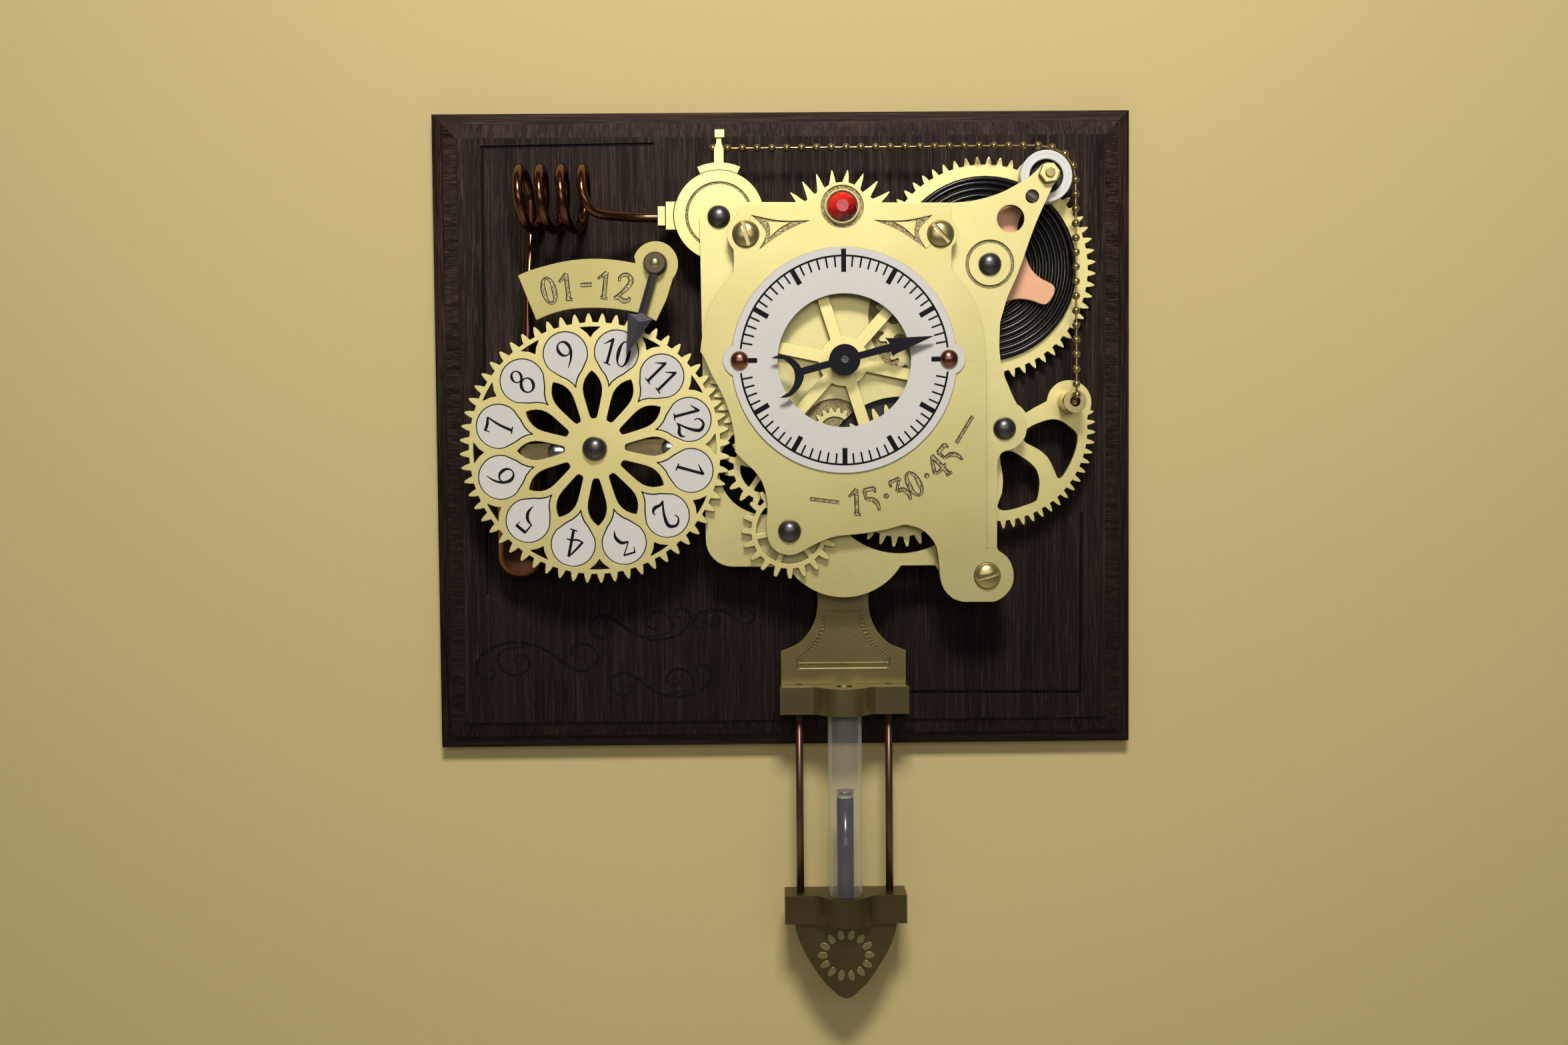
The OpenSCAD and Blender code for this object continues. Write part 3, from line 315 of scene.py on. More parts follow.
# ----------------------------------------------------------------- materials
class Mat:
    """a node material around one Principled shader"""

    def __init__(self, name, **sockets):
        self.m = bpy.data.materials.new(name)
        self.m.use_nodes = True
        self.t = self.m.node_tree
        self.t.nodes.clear()
        self.out = self.n("ShaderNodeOutputMaterial")
        self.b = self.n("ShaderNodeBsdfPrincipled")
        self.link(self.b.outputs["BSDF"], self.out.inputs["Surface"])
        self.tc = self.n("ShaderNodeTexCoord")
        self.obj = self.tc.outputs["Object"]
        for k, v in sockets.items():
            self.set(k.replace("_", " "), v)

    def n(self, kind, **k):
        node = self.t.nodes.new(kind)
        for a, v in k.items():
            setattr(node, a, v)
        return node

    def link(self, a, b):
        self.t.links.new(a, b)

    def put(self, socket, v):
        if hasattr(v, "is_output"):
            self.link(v, socket)
        elif isinstance(v, (tuple, list)) and len(v) == 3 and socket.type == "RGBA":
            socket.default_value = (*v, 1)
        else:
            socket.default_value = v

    def set(self, name, v):
        for s in self.b.inputs:
            if s.name.lower() == name.lower():
                self.put(s, v)
                return
        raise KeyError(name)

    def scaled(self, scale, vec=None, loc=(0, 0, 0), turn=(0, 0, 0)):
        mp = self.n("ShaderNodeMapping")
        mp.inputs["Scale"].default_value = scale
        mp.inputs["Location"].default_value = loc
        mp.inputs["Rotation"].default_value = turn
        self.link(vec or self.obj, mp.inputs["Vector"])
        return mp.outputs["Vector"]

    def noise(self, scale, detail=2.0, rough=0.5, vec=None, distort=0.0):
        no = self.n("ShaderNodeTexNoise")
        no.inputs["Scale"].default_value = 1.0
        no.inputs["Detail"].default_value = detail
        no.inputs["Roughness"].default_value = rough
        no.inputs["Distortion"].default_value = distort
        s = scale if isinstance(scale, tuple) else (scale, scale, scale)
        self.link(self.scaled(s, vec), no.inputs["Vector"])
        return no.outputs["Fac"]

    def voronoi(self, scale, feature="F1", vec=None):
        vo = self.n("ShaderNodeTexVoronoi", feature=feature)
        vo.inputs["Scale"].default_value = 1.0
        s = scale if isinstance(scale, tuple) else (scale, scale, scale)
        self.link(self.scaled(s, vec), vo.inputs["Vector"])
        return vo.outputs["Distance"]

    def ramp(self, fac, stops, mode="LINEAR"):
        """stops of (position, colour) or (position, value)"""
        r = self.n("ShaderNodeValToRGB")
        r.color_ramp.interpolation = mode
        while len(r.color_ramp.elements) < len(stops):
            r.color_ramp.elements.new(0.5)
        for e, (p, c) in zip(r.color_ramp.elements, stops):
            e.position = p
            e.color = (c, c, c, 1) if not isinstance(c, (tuple, list)) else (*c, 1)
        self.link(fac, r.inputs["Fac"])
        return r.outputs["Color"]

    def math(self, op, a, b=0.0, clamp=False):
        m = self.n("ShaderNodeMath", operation=op, use_clamp=clamp)
        self.put(m.inputs[0], a)
        self.put(m.inputs[1], b)
        return m.outputs[0]

    def mix(self, fac, a, b, mode="MIX"):
        m = self.n("ShaderNodeMix", data_type="RGBA", blend_type=mode)
        self.put(m.inputs[0], fac)
        self.put(m.inputs[6], a)
        self.put(m.inputs[7], b)
        return m.outputs[2]

    def mixf(self, fac, a, b):
        m = self.n("ShaderNodeMix", data_type="FLOAT")
        self.put(m.inputs[0], fac)
        self.put(m.inputs[2], a)
        self.put(m.inputs[3], b)
        return m.outputs[0]

    def xyz(self, vec=None):
        s = self.n("ShaderNodeSeparateXYZ")
        self.link(vec or self.obj, s.inputs[0])
        return s.outputs[0], s.outputs[1], s.outputs[2]

    def step(self, v, lo, hi):
        """0 below lo, 1 above hi"""
        r = self.n("ShaderNodeMapRange", interpolation_type="SMOOTHSTEP")
        r.inputs["From Min"].default_value = lo
        r.inputs["From Max"].default_value = hi
        self.put(r.inputs["Value"], v)
        return r.outputs["Result"]

    def bump(self, height, strength=0.3, distance=0.0002, normal=None):
        b = self.n("ShaderNodeBump")
        b.inputs["Strength"].default_value = strength
        b.inputs["Distance"].default_value = distance
        self.put(b.inputs["Height"], height)
        if normal is not None:
            self.link(normal, b.inputs["Normal"])
        return b.outputs["Normal"]

    def edges(self, radius):
        """1 on convex edges, from the bevelled normal against the true one"""
        bv = self.n("ShaderNodeBevel", samples=4)
        bv.inputs["Radius"].default_value = radius
        ge = self.n("ShaderNodeNewGeometry")
        dot = self.n("ShaderNodeVectorMath", operation="DOT_PRODUCT")
        self.link(bv.outputs["Normal"], dot.inputs[0])
        self.link(ge.outputs["Normal"], dot.inputs[1])
        return self.math("SUBTRACT", 1.0, dot.outputs["Value"], clamp=True)


def brass(name, light, dark, rough=0.4, grain=1.0, floor=None, floor_col=(0.23, 0.19, 0.092), metallic=0.9, drift=0.5, wall=0.0, painted_crease_shade=True):
    """satin brass: fine blasted grain, slow drift of tone, small stains; floor is the
    height in mm below which a sunk face takes the coarse dark texture, wall how dark
    the side walls (partly their sawn colour, mostly painted shade) and the faces and edges that face up (painted dark
    reflection) are made, the crease switch whether creases take painted contact shade"""
    m = Mat(name, Metallic=metallic)
    slow = m.noise(14.0, 3, 0.6)
    fine = m.noise(5200.0, 2, 0.7)
    mid = m.noise(900.0, 3, 0.6)
    col = m.mix(m.ramp(slow, [(0.35, 0.0), (0.68, 1.0)]), dark, light)
    col = m.mix(m.ramp(fine, [(0.30, 0.16 * grain), (0.55, 0.0)]), col, tuple(c * 0.45 for c in dark))
    col = m.mix(m.ramp(fine, [(0.56, 0.0), (0.78, 0.22 * grain)]), col, tuple(min(1, c * 1.35) for c in light))
    stain = m.noise(120.0, 4, 0.62)
    col = m.mix(m.ramp(stain, [(0.60, 0.0), (0.80, 0.22 * drift)]), col, tuple(c * 0.55 for c in dark))
    r = m.math("ADD", m.math("MULTIPLY", mid, 0.16), rough - 0.08)
    h = m.math("ADD", m.math("MULTIPLY", fine, 0.6), m.math("MULTIPLY", mid, 0.4))
    if floor is not None:
        _, y, _ = m.xyz()
        lim = -(14 + floor) / 1000
        deep = m.step(y, lim - 0.00005, lim + 0.00005)
        spk = m.noise(2600.0, 3, 0.75)
        fcol = m.mix(m.ramp(spk, [(0.42, 0.0), (0.60, 1.0)]), tuple(c * 0.35 for c in floor_col), tuple(min(1, c * 3.0) for c in floor_col))
        col = m.mix(deep, col, fcol)
        r = m.mixf(deep, r, 0.62)
        h = m.mixf(deep, h, m.math("MULTIPLY", spk, 3.0))
    if wall:
        ge = m.n("ShaderNodeNewGeometry")
        _, ny, nz = m.xyz(ge.outputs["True Normal"])
        upright = m.math("SUBTRACT", 1.0, m.math("ABSOLUTE", ny))
        # painted shade: side walls are darkened, partly their own sawn colour and mostly the shade at the plates'
        # edges; faces and edges that face up are darkened as a painted reflection of the dark room above
        side = m.math("MULTIPLY", m.math("MAXIMUM", m.step(upright, 0.72, 0.95), m.step(nz, 0.25, 0.65)), wall)
        col = m.mix(side, col, (0.11, 0.075, 0.030))
        r = m.mixf(side, r, 0.6)
        if painted_crease_shade:
            # painted shade: ambient occlusion darkens creases and the foot of raised parts as a contact shadow
            ao = m.n("ShaderNodeAmbientOcclusion", samples=4)
            ao.inputs["Distance"].default_value = 0.0011
            crease = m.ramp(ao.outputs["AO"], [(0.30, 0.85), (0.74, 0.0)])
            col = m.mix(crease, col, (0.055, 0.040, 0.016))
    m.set("Base Color", col)
    m.set("Roughness", r)
    m.set("Normal", m.bump(h, 0.22 * grain, 0.00006))
    return m.m


def simple(name, base, rough=0.4, metallic=0.0, scale=900.0, amount=0.15, bump=0.15, dist=0.00005, **sockets):
    """an even finish with a little cloud, grain and unevenness of gloss"""
    m = Mat(name, Metallic=metallic, **sockets)
    n1 = m.noise(scale, 3, 0.6)
    n2 = m.noise(60.0, 3, 0.6)
    col = m.mix(m.ramp(n1, [(0.35, amount), (0.6, 0.0)]), base, tuple(c * 0.5 for c in base))
    col = m.mix(m.ramp(n2, [(0.45, 0.0), (0.75, amount)]), col, tuple(min(1, c * 1.5 + 0.01) for c in base))
    m.set("Base Color", col)
    m.set("Roughness", m.math("ADD", m.math("MULTIPLY", n1, 0.12), rough - 0.06))
    m.set("Normal", m.bump(n1, bump, dist))
    return m.m


def wood():
    m = Mat("dark_oak", Metallic=0.0, Specular_IOR_Level=0.07)
    x, y, z = m.xyz()
    ax = m.math("SUBTRACT", 0.150, m.math("ABSOLUTE", x))
    # distance from the nearest long edge and the nearest short edge
    az = m.math("SUBTRACT", 0.1367, m.math("ABSOLUTE", z))
    side = m.math("LESS_THAN", ax, az)
    d = m.math("MINIMUM", ax, az)
    outer = m.math("LESS_THAN", d, 0.0053)
    panel = m.math("GREATER_THAN", d, 0.01165)
    inner = m.math("SUBTRACT", m.math("SUBTRACT", 1.0, panel), outer)
    along_z = m.math("ADD", panel, m.math("ADD", m.math("MULTIPLY", outer, side),
                     m.math("MULTIPLY", inner, m.math("SUBTRACT", 1.0, side))), clamp=True)
    # grain coordinates: u across the grain, w along it
    cmb = m.n("ShaderNodeCombineXYZ")
    m.link(m.mixf(along_z, z, x), cmb.inputs[0])
    m.link(m.mixf(along_z, x, z), cmb.inputs[2])
    m.link(m.math("ADD", y, m.math("MULTIPLY", panel, 0.31)), cmb.inputs[1])
    g = cmb.outputs[0]
    broad = m.noise((95, 40, 5.0), 3, 0.6, g, 0.6)
    streak = m.noise((620, 200, 13), 4, 0.65, g, 0.4)
    fibre = m.noise((2300, 600, 55), 3, 0.7, g)
    pore = m.noise((3100, 900, 160), 2, 0.6, g)
    col = m.ramp(broad, [(0.30, (0.0090, 0.0052, 0.0041)), (0.55, (0.017, 0.0102, 0.0081)), (0.75, (0.030, 0.0185, 0.0148))])
    col = m.mix(m.ramp(streak, [(0.50, 0.0), (0.72, 0.70)]), col, (0.060, 0.037, 0.029))
    col = m.mix(m.ramp(fibre, [(0.54, 0.0), (0.74, 0.55)]), col, (0.135, 0.088, 0.066))
    col = m.mix(m.ramp(pore, [(0.28, 0.85), (0.42, 0.0)]), col, (0.004, 0.003, 0.003))
    tick = m.noise((1500, 300, 26), 3, 0.7, g)
    band = m.math("SUBTRACT", 1.0, panel)
    col = m.mix(m.math("MULTIPLY", band, m.ramp(tick, [(0.50, 0.0), (0.70, 0.32)])), col, (0.11, 0.066, 0.049))
    # painted highlight: faces that lean upward are lightened along the fibres, as if lit from above
    ge = m.n("ShaderNodeNewGeometry")
    _, _, nz = m.xyz(ge.outputs["True Normal"])
    col = m.mix(m.math("MULTIPLY", m.step(nz, 0.15, 0.55), m.ramp(fibre, [(0.3, 0.0), (0.75, 0.38)])), col, (0.075, 0.048, 0.038))
    groove = m.math("MULTIPLY", m.math("MULTIPLY", m.step(y, -0.01390, -0.01375), m.math("LESS_THAN", y, -0.0125)), m.math("GREATER_THAN", d, 0.0125))
    col = m.mix(m.math("MULTIPLY", groove, 0.9), col, (0.0022, 0.0016, 0.0014))
    # painted shade: the board is made darker towards its bottom, where the light falls off
    low_shade = m.step(z, 0.10, -0.12)
    col = m.mix(m.math("MULTIPLY", low_shade, 0.62), m.mix(0.5, col, tuple([1.5] * 3), "MULTIPLY"), (0.006, 0.0038, 0.0032))
    m.set("Base Color", col)
    m.set("Roughness", m.math("ADD", m.math("MULTIPLY", fibre, 0.25), 0.42))
    h = m.math("ADD", m.math("MULTIPLY", pore, 0.7), m.math("MULTIPLY", streak, 0.5))
    m.set("Normal", m.bump(h, 0.55, 0.00018))
    return m.m


def etched_brass():
    """bright brass flecks on a dark sunk ground"""
    m = Mat("etched_brass", Metallic=0.75)
    spk = m.noise(1500.0, 3, 0.75)
    fine = m.noise(4200.0, 2, 0.7)
    v = m.math("ADD", m.math("MULTIPLY", spk, 0.6), m.math("MULTIPLY", fine, 0.4))
    m.set("Base Color", m.ramp(v, [(0.42, (0.05, 0.035, 0.014)), (0.50, (0.36, 0.28, 0.12)), (0.60, (0.92, 0.82, 0.46))]))
    m.set("Roughness", m.math("ADD", m.math("MULTIPLY", fine, 0.2), 0.35))
    m.set("Normal", m.bump(v, 0.8, 0.0004))
    return m.m


def scored_wood():
    """black cut lines with a few pale torn fibres"""
    m = Mat("scored_wood", Metallic=0.0, Specular_IOR_Level=0.08)
    spk = m.noise(2400.0, 3, 0.75)
    m.set("Base Color", m.ramp(spk, [(0.50, (0.0032, 0.0022, 0.0018)), (0.62, (0.012, 0.009, 0.007)), (0.72, (0.10, 0.080, 0.060))]))
    m.set("Roughness", m.math("ADD", m.math("MULTIPLY", spk, 0.2), 0.5))
    m.set("Normal", m.bump(spk, 0.8, 0.0003))
    return m.m


def rough_cast(name):
    """coarse dark casting skin"""
    m = Mat(name, Metallic=0.6)
    spk = m.noise(1100.0, 4, 0.75)
    m.set("Base Color", m.ramp(spk, [(0.38, (0.012, 0.011, 0.010)), (0.58, (0.10, 0.092, 0.08))]))
    m.set("Roughness", m.math("ADD", m.math("MULTIPLY", spk, 0.3), 0.45))
    m.set("Normal", m.bump(spk, 0.9, 0.0006))
    return m.m


MATS = {
    "plate": brass("satin_brass_plate", (0.81, 0.715, 0.335), (0.72, 0.625, 0.265), 0.44, 1.3, floor=22.5, metallic=0.8, wall=0.85),
    "front": brass("satin_brass_front", (0.73, 0.645, 0.295), (0.655, 0.57, 0.235), 0.46, 1.4, floor=30.7, metallic=0.8, wall=0.85),
    "gear": brass("satin_brass_gear", (0.94, 0.82, 0.36), (0.82, 0.70, 0.28), 0.42, 1.6, metallic=0.72, wall=0.85),
    "old": brass("turned_brass", (0.66, 0.54, 0.26), (0.46, 0.36, 0.15), 0.30, 0.7),
    "antique": brass("antique_brass", (0.34, 0.27, 0.13), (0.21, 0.16, 0.07), 0.30, 0.8),
    "dull": brass("dull_brass", (0.52, 0.44, 0.23), (0.36, 0.29, 0.14), 0.46, 1.2),
    "gauge": brass("gauge_brass", (0.90, 0.79, 0.35), (0.78, 0.67, 0.27), 0.42, 1.4, floor=19.2, metallic=0.78, wall=0.85),
    "copper": simple("satin_copper", (0.87, 0.46, 0.265), 0.46, 0.5, 2600, 0.22, 0.2),
    "dark_copper": simple("dark_copper", (0.185, 0.078, 0.044), 0.21, 1.0, 300, 0.3, 0.1),
    "bronze": simple("brown_bronze", (0.10, 0.072, 0.048), 0.26, 0.9, 500, 0.3, 0.1),
    "steel": simple("plain_steel", (0.56, 0.56, 0.57), 0.3, 1.0, 1500, 0.2),
    "nickel": simple("polished_nickel", (0.78, 0.77, 0.75), 0.14, 1.0, 700, 0.15, 0.05),
    "rod_copper": simple("brown_copper_rod", (0.15, 0.078, 0.055), 0.36, 0.85, 300, 0.3, 0.1),
    "nail": simple("gunmetal_dome", (0.115, 0.108, 0.108), 0.33, 0.9, 900, 0.3, 0.12),
    "spring": simple("black_spring_steel", (0.020, 0.019, 0.022), 0.20, 0.75, 500, 0.3, 0.1),
    "hand": simple("black_lacquer", (0.0065, 0.0055, 0.0095), 0.55, 0.0, 1500, 0.2, 0.15, Specular_IOR_Level=0.14),
    "shade": simple("etched_shade", (0.035, 0.024, 0.010), 0.6, 0.2, 2500, 0.2, 0.2),
    "etch": etched_brass(),
    "cut_wood": scored_wood(),
    "recess": rough_cast("pulley_recess"),
    "copper_nail": simple("copper_nail", (0.34, 0.14, 0.088), 0.25, 1.0, 700, 0.2, 0.08),
    "bead": brass("bead_brass", (0.50, 0.38, 0.17), (0.30, 0.22, 0.09), 0.26, 0.5),
    "plaque": brass("satin_brass_plaque", (0.60, 0.51, 0.21), (0.50, 0.42, 0.155), 0.42, 1.4, metallic=0.8, wall=0.85, painted_crease_shade=False),
    # painted shade: the pendulum brass is made darker step by step down the pendulum (head plate, upper block, lower
    # block, bob), where the light falls off; pend_high is a lighter copy, painted highlight on the raised bars and the
    # rosette
    "pend": brass("pendulum_brass", (0.42, 0.35, 0.15), (0.30, 0.245, 0.10), 0.36, 1.0),
    "pend_mid": brass("pendulum_block_brass_shaded", (0.30, 0.25, 0.105), (0.20, 0.162, 0.066), 0.34, 1.0),
    "pend_low": brass("pendulum_foot_brass_shaded", (0.19, 0.155, 0.066), (0.125, 0.098, 0.040), 0.36, 1.0),
    "pend_high": brass("pendulum_brass_highlight", (0.52, 0.44, 0.20), (0.36, 0.30, 0.13), 0.33, 0.8),
    "bob_brass_shaded": brass("bob_brass_shaded", (0.18, 0.145, 0.063), (0.110, 0.086, 0.036), 0.38, 1.0),
    # black for print, and for the painted shade ring at the dial's foot
    "ink": simple("printing_ink_and_shade", (0.0055, 0.0050, 0.0075), 0.6, 0.0, 2500, 0.15, 0.1, Specular_IOR_Level=0.1),
    "face": simple("painted_face", (0.685, 0.648, 0.605), 0.5, 0.0, 1800, 0.06, 0.08),
    "pointer": simple("grey_steel", (0.095, 0.088, 0.100), 0.36, 0.75, 800, 0.3, 0.12),
    "black_plastic": simple("black_plastic", (0.014, 0.014, 0.015), 0.5, 0.0, 1800, 0.1, 0.25),
    "white_plastic": simple("white_plastic", (0.72, 0.71, 0.68), 0.45, 0.0, 1800, 0.05, 0.2),
    "sleeve": simple("battery_sleeve", (0.03, 0.10, 0.055), 0.35, 0.2, 300, 0.2, 0.05),
    "pcb": simple("circuit_lacquer", (0.01, 0.09, 0.03), 0.3, 0.0, 200, 0.3, 0.1),
    "pulley": simple("cream_enamel", (0.80, 0.80, 0.74), 0.32, 0.1, 1500, 0.10, 0.1),
    "indigo": simple("indigo_gloss", (0.018, 0.014, 0.045), 0.18, 0.0, 200, 0.3, 0.05),
    "wood": wood(),
}


def clear_wall():
    """thin clear tube: faint in the middle, painted more opaque and pale towards the sides, standing in for the
    reflection where the wall is seen edge on
    """
    m = Mat("clear_tube_glass", Metallic=0.0, IOR=1.45)
    x, _, _ = m.xyz()
    off = m.math("ABSOLUTE", m.math("SUBTRACT", x, 0.0246))
    n = m.noise(180.0, 3, 0.6)
    m.set("Base Color", m.mix(m.ramp(n, [(0.4, 0.0), (0.8, 0.3)]), (0.82, 0.80, 0.72), (0.68, 0.66, 0.58)))
    m.set("Roughness", m.math("ADD", m.math("MULTIPLY", n, 0.05), 0.06))
    # painted reflection: the alpha rises with the distance from the tube's axis
    m.set("Alpha", m.math("ADD", m.math("MULTIPLY", m.step(off, 0.0050, 0.0072), 0.26), m.math("ADD", m.math("MULTIPLY", n, 0.04), 0.03)))
    return m.m


def red_stone():
    """cut red stone: each facet is painted lighter or darker by the way it leans, upward and leftward facets lit,
    downward ones shaded, as painted light from a lamp above
    """
    m = Mat("red_stone", Metallic=0.0, IOR=1.60, Coat_Weight=0.25, Coat_Roughness=0.05)
    ge = m.n("ShaderNodeNewGeometry")
    nx, ny, nz = m.xyz(ge.outputs["True Normal"])
    # painted light: the lean of each facet towards the upper left sets how light it is painted
    lean = m.math("ADD", m.math("MULTIPLY", nz, 0.55), m.math("MULTIPLY", nx, -0.25))
    n = m.noise(420.0, 3, 0.7)
    v = m.math("ADD", m.math("ADD", lean, 0.5), m.math("MULTIPLY", m.math("SUBTRACT", n, 0.5), 0.7), clamp=True)
    m.set("Base Color", m.ramp(v, [(0.15, (0.10, 0.002, 0.003)), (0.45, (0.42, 0.006, 0.006)), (0.75, (0.85, 0.030, 0.014))]))
    m.set("Roughness", m.math("ADD", m.math("MULTIPLY", n, 0.05), 0.07))
    return m.m


MATS["glass"] = clear_wall()
MATS["ruby"] = red_stone()

# which finish each construction node takes, and how its edges are eased, in mm
FINISH = {
    "backboard": ("wood", 0.35), "board_posts": ("dull", 0), "main_plate": ("plate", 0.16), "front_plate": ("front", 0.18),
    "plate_spacers": ("dull", 0.1), "dome_nails": ("nail", 0), "plate_screws": ("old", 0.12), "dial_ring": ("face", 0.08),
    "dial_nails": ("dark_copper", 0), "jewel_bezel": ("old", 0.12), "jewel": ("ruby", 0), "hours_plaque": ("plaque", 0.22),
    "plaque_post": ("bronze", 0.12), "hour_pointer": ("pointer", 0.42), "pointer_dome": ("old", 0), "gear_bridge": ("antique", 0.15),
    "bridge_posts": ("dull", 0), "bridge_screws": ("nickel", 0.1), "hour_gear_stud": ("steel", 0.08), "hour_gear": ("gear", 0.22),
    "hour_gear_hub": ("gear", 0.15), "number_tiles": ("face", 0.06), "hour_wheel": ("gear", 0.22), "hour_tube": ("old", 0.1),
    "small_gear": ("gear", 0.22), "small_gear_hub": ("gear", 0.15), "small_gear_stud": ("dull", 0.08), "minute_arbor": ("nail", 0.06),
    "minute_hand": ("hand", 0.12), "motion_wheel": ("white_plastic", 0.06), "movement_case": ("black_plastic", 0.4),
    "movement_cover": ("black_plastic", 0.2), "battery": ("sleeve", 0.2), "circuit_board": ("pcb", 0.05), "drive_coil": ("copper", 0.1),
    "pendulum_hanger": ("steel", 0.12), "head_plate": ("pend", 0.2), "upper_block": ("pend_mid", 0.6), "lower_block": ("pend_low", 0.6),
    "pendulum_rods": ("rod_copper", 0), "glass_tube": ("glass", 0.1), "inner_rod": ("indigo", 0), "tube_cap": ("nickel", 0.2),
    "bob": ("bob_brass_shaded", 0.6), "escape_wheel": ("gear", 0.15), "barrel_wheel": ("gear", 0.2), "mainspring": ("spring", 0.2),
    "ratchet_hub": ("copper", 0.25), "sector_wheel": ("gear", 0.2), "chain_tube": ("old", 0.2), "pulley": ("pulley", 0.1),
    "pulley_screw": ("old", 0.1), "pulley_nut": ("gear", 0.15), "bead_chain": ("antique", 0), "gauge_disc": ("gauge", 0.2),
    "gauge_fittings": ("gear", 0.15), "copper_tube": ("dark_copper", 0), "copper_vessel": ("dark_copper", 0),
    "inset_gear_small": ("gear", 0.15), "inset_gear_large": ("gear", 0.15),
}
BODY = {n: o["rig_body"] for n, o in NODES.items()}


def dress(node, key, edge):
    ob = NODES[node]
    me = ob.data
    me.materials.clear()
    me.materials.append(MATS[key])
    w = ob.modifiers.new("weld", "WELD")
    w.merge_threshold = 2e-6
    if edge:
        bevel(ob, edge, 2, 32)
    else:
        me.polygons.foreach_set("use_smooth", [True] * len(me.polygons))


for name, (key, edge) in FINISH.items():
    dress(name, key, edge)


def piece(name, mesh, key, like, smooth=35.0):
    """a new piece that rides with a construction node"""
    return new_object(name, mesh[0], mesh[1], MATS[key], BODY[like], smooth)


# ------------------------------------------------------------ drawn shapes
def stroke(ps, ws, g=0.0, n=8):
    """a swelling pen stroke through ps with a width at each, as one outline"""
    c = curve([(*p, w) for p, w in zip(ps, ws)], n)
    return [ribbon([(q[0], q[1]) for q in c], [q[2] + g for q in c])]


def oval(c, rx, ry, thick, thin, lean=0.0, g=0.0, n=40):
    """a ring whose line swells on two opposite sides"""
    out, inn = [], []
    for i in range(n):
        a = 2 * math.pi * i / n
        t = thin + (thick - thin) * math.cos(a - math.radians(lean)) ** 2 + g / 2
        out.append((c[0] + (rx + g / 2) * math.cos(a), c[1] + (ry + g / 2) * math.sin(a)))
        inn.append((c[0] + (rx - t) * math.cos(a), c[1] + (ry - t) * math.sin(a)))
    return [out, inn]


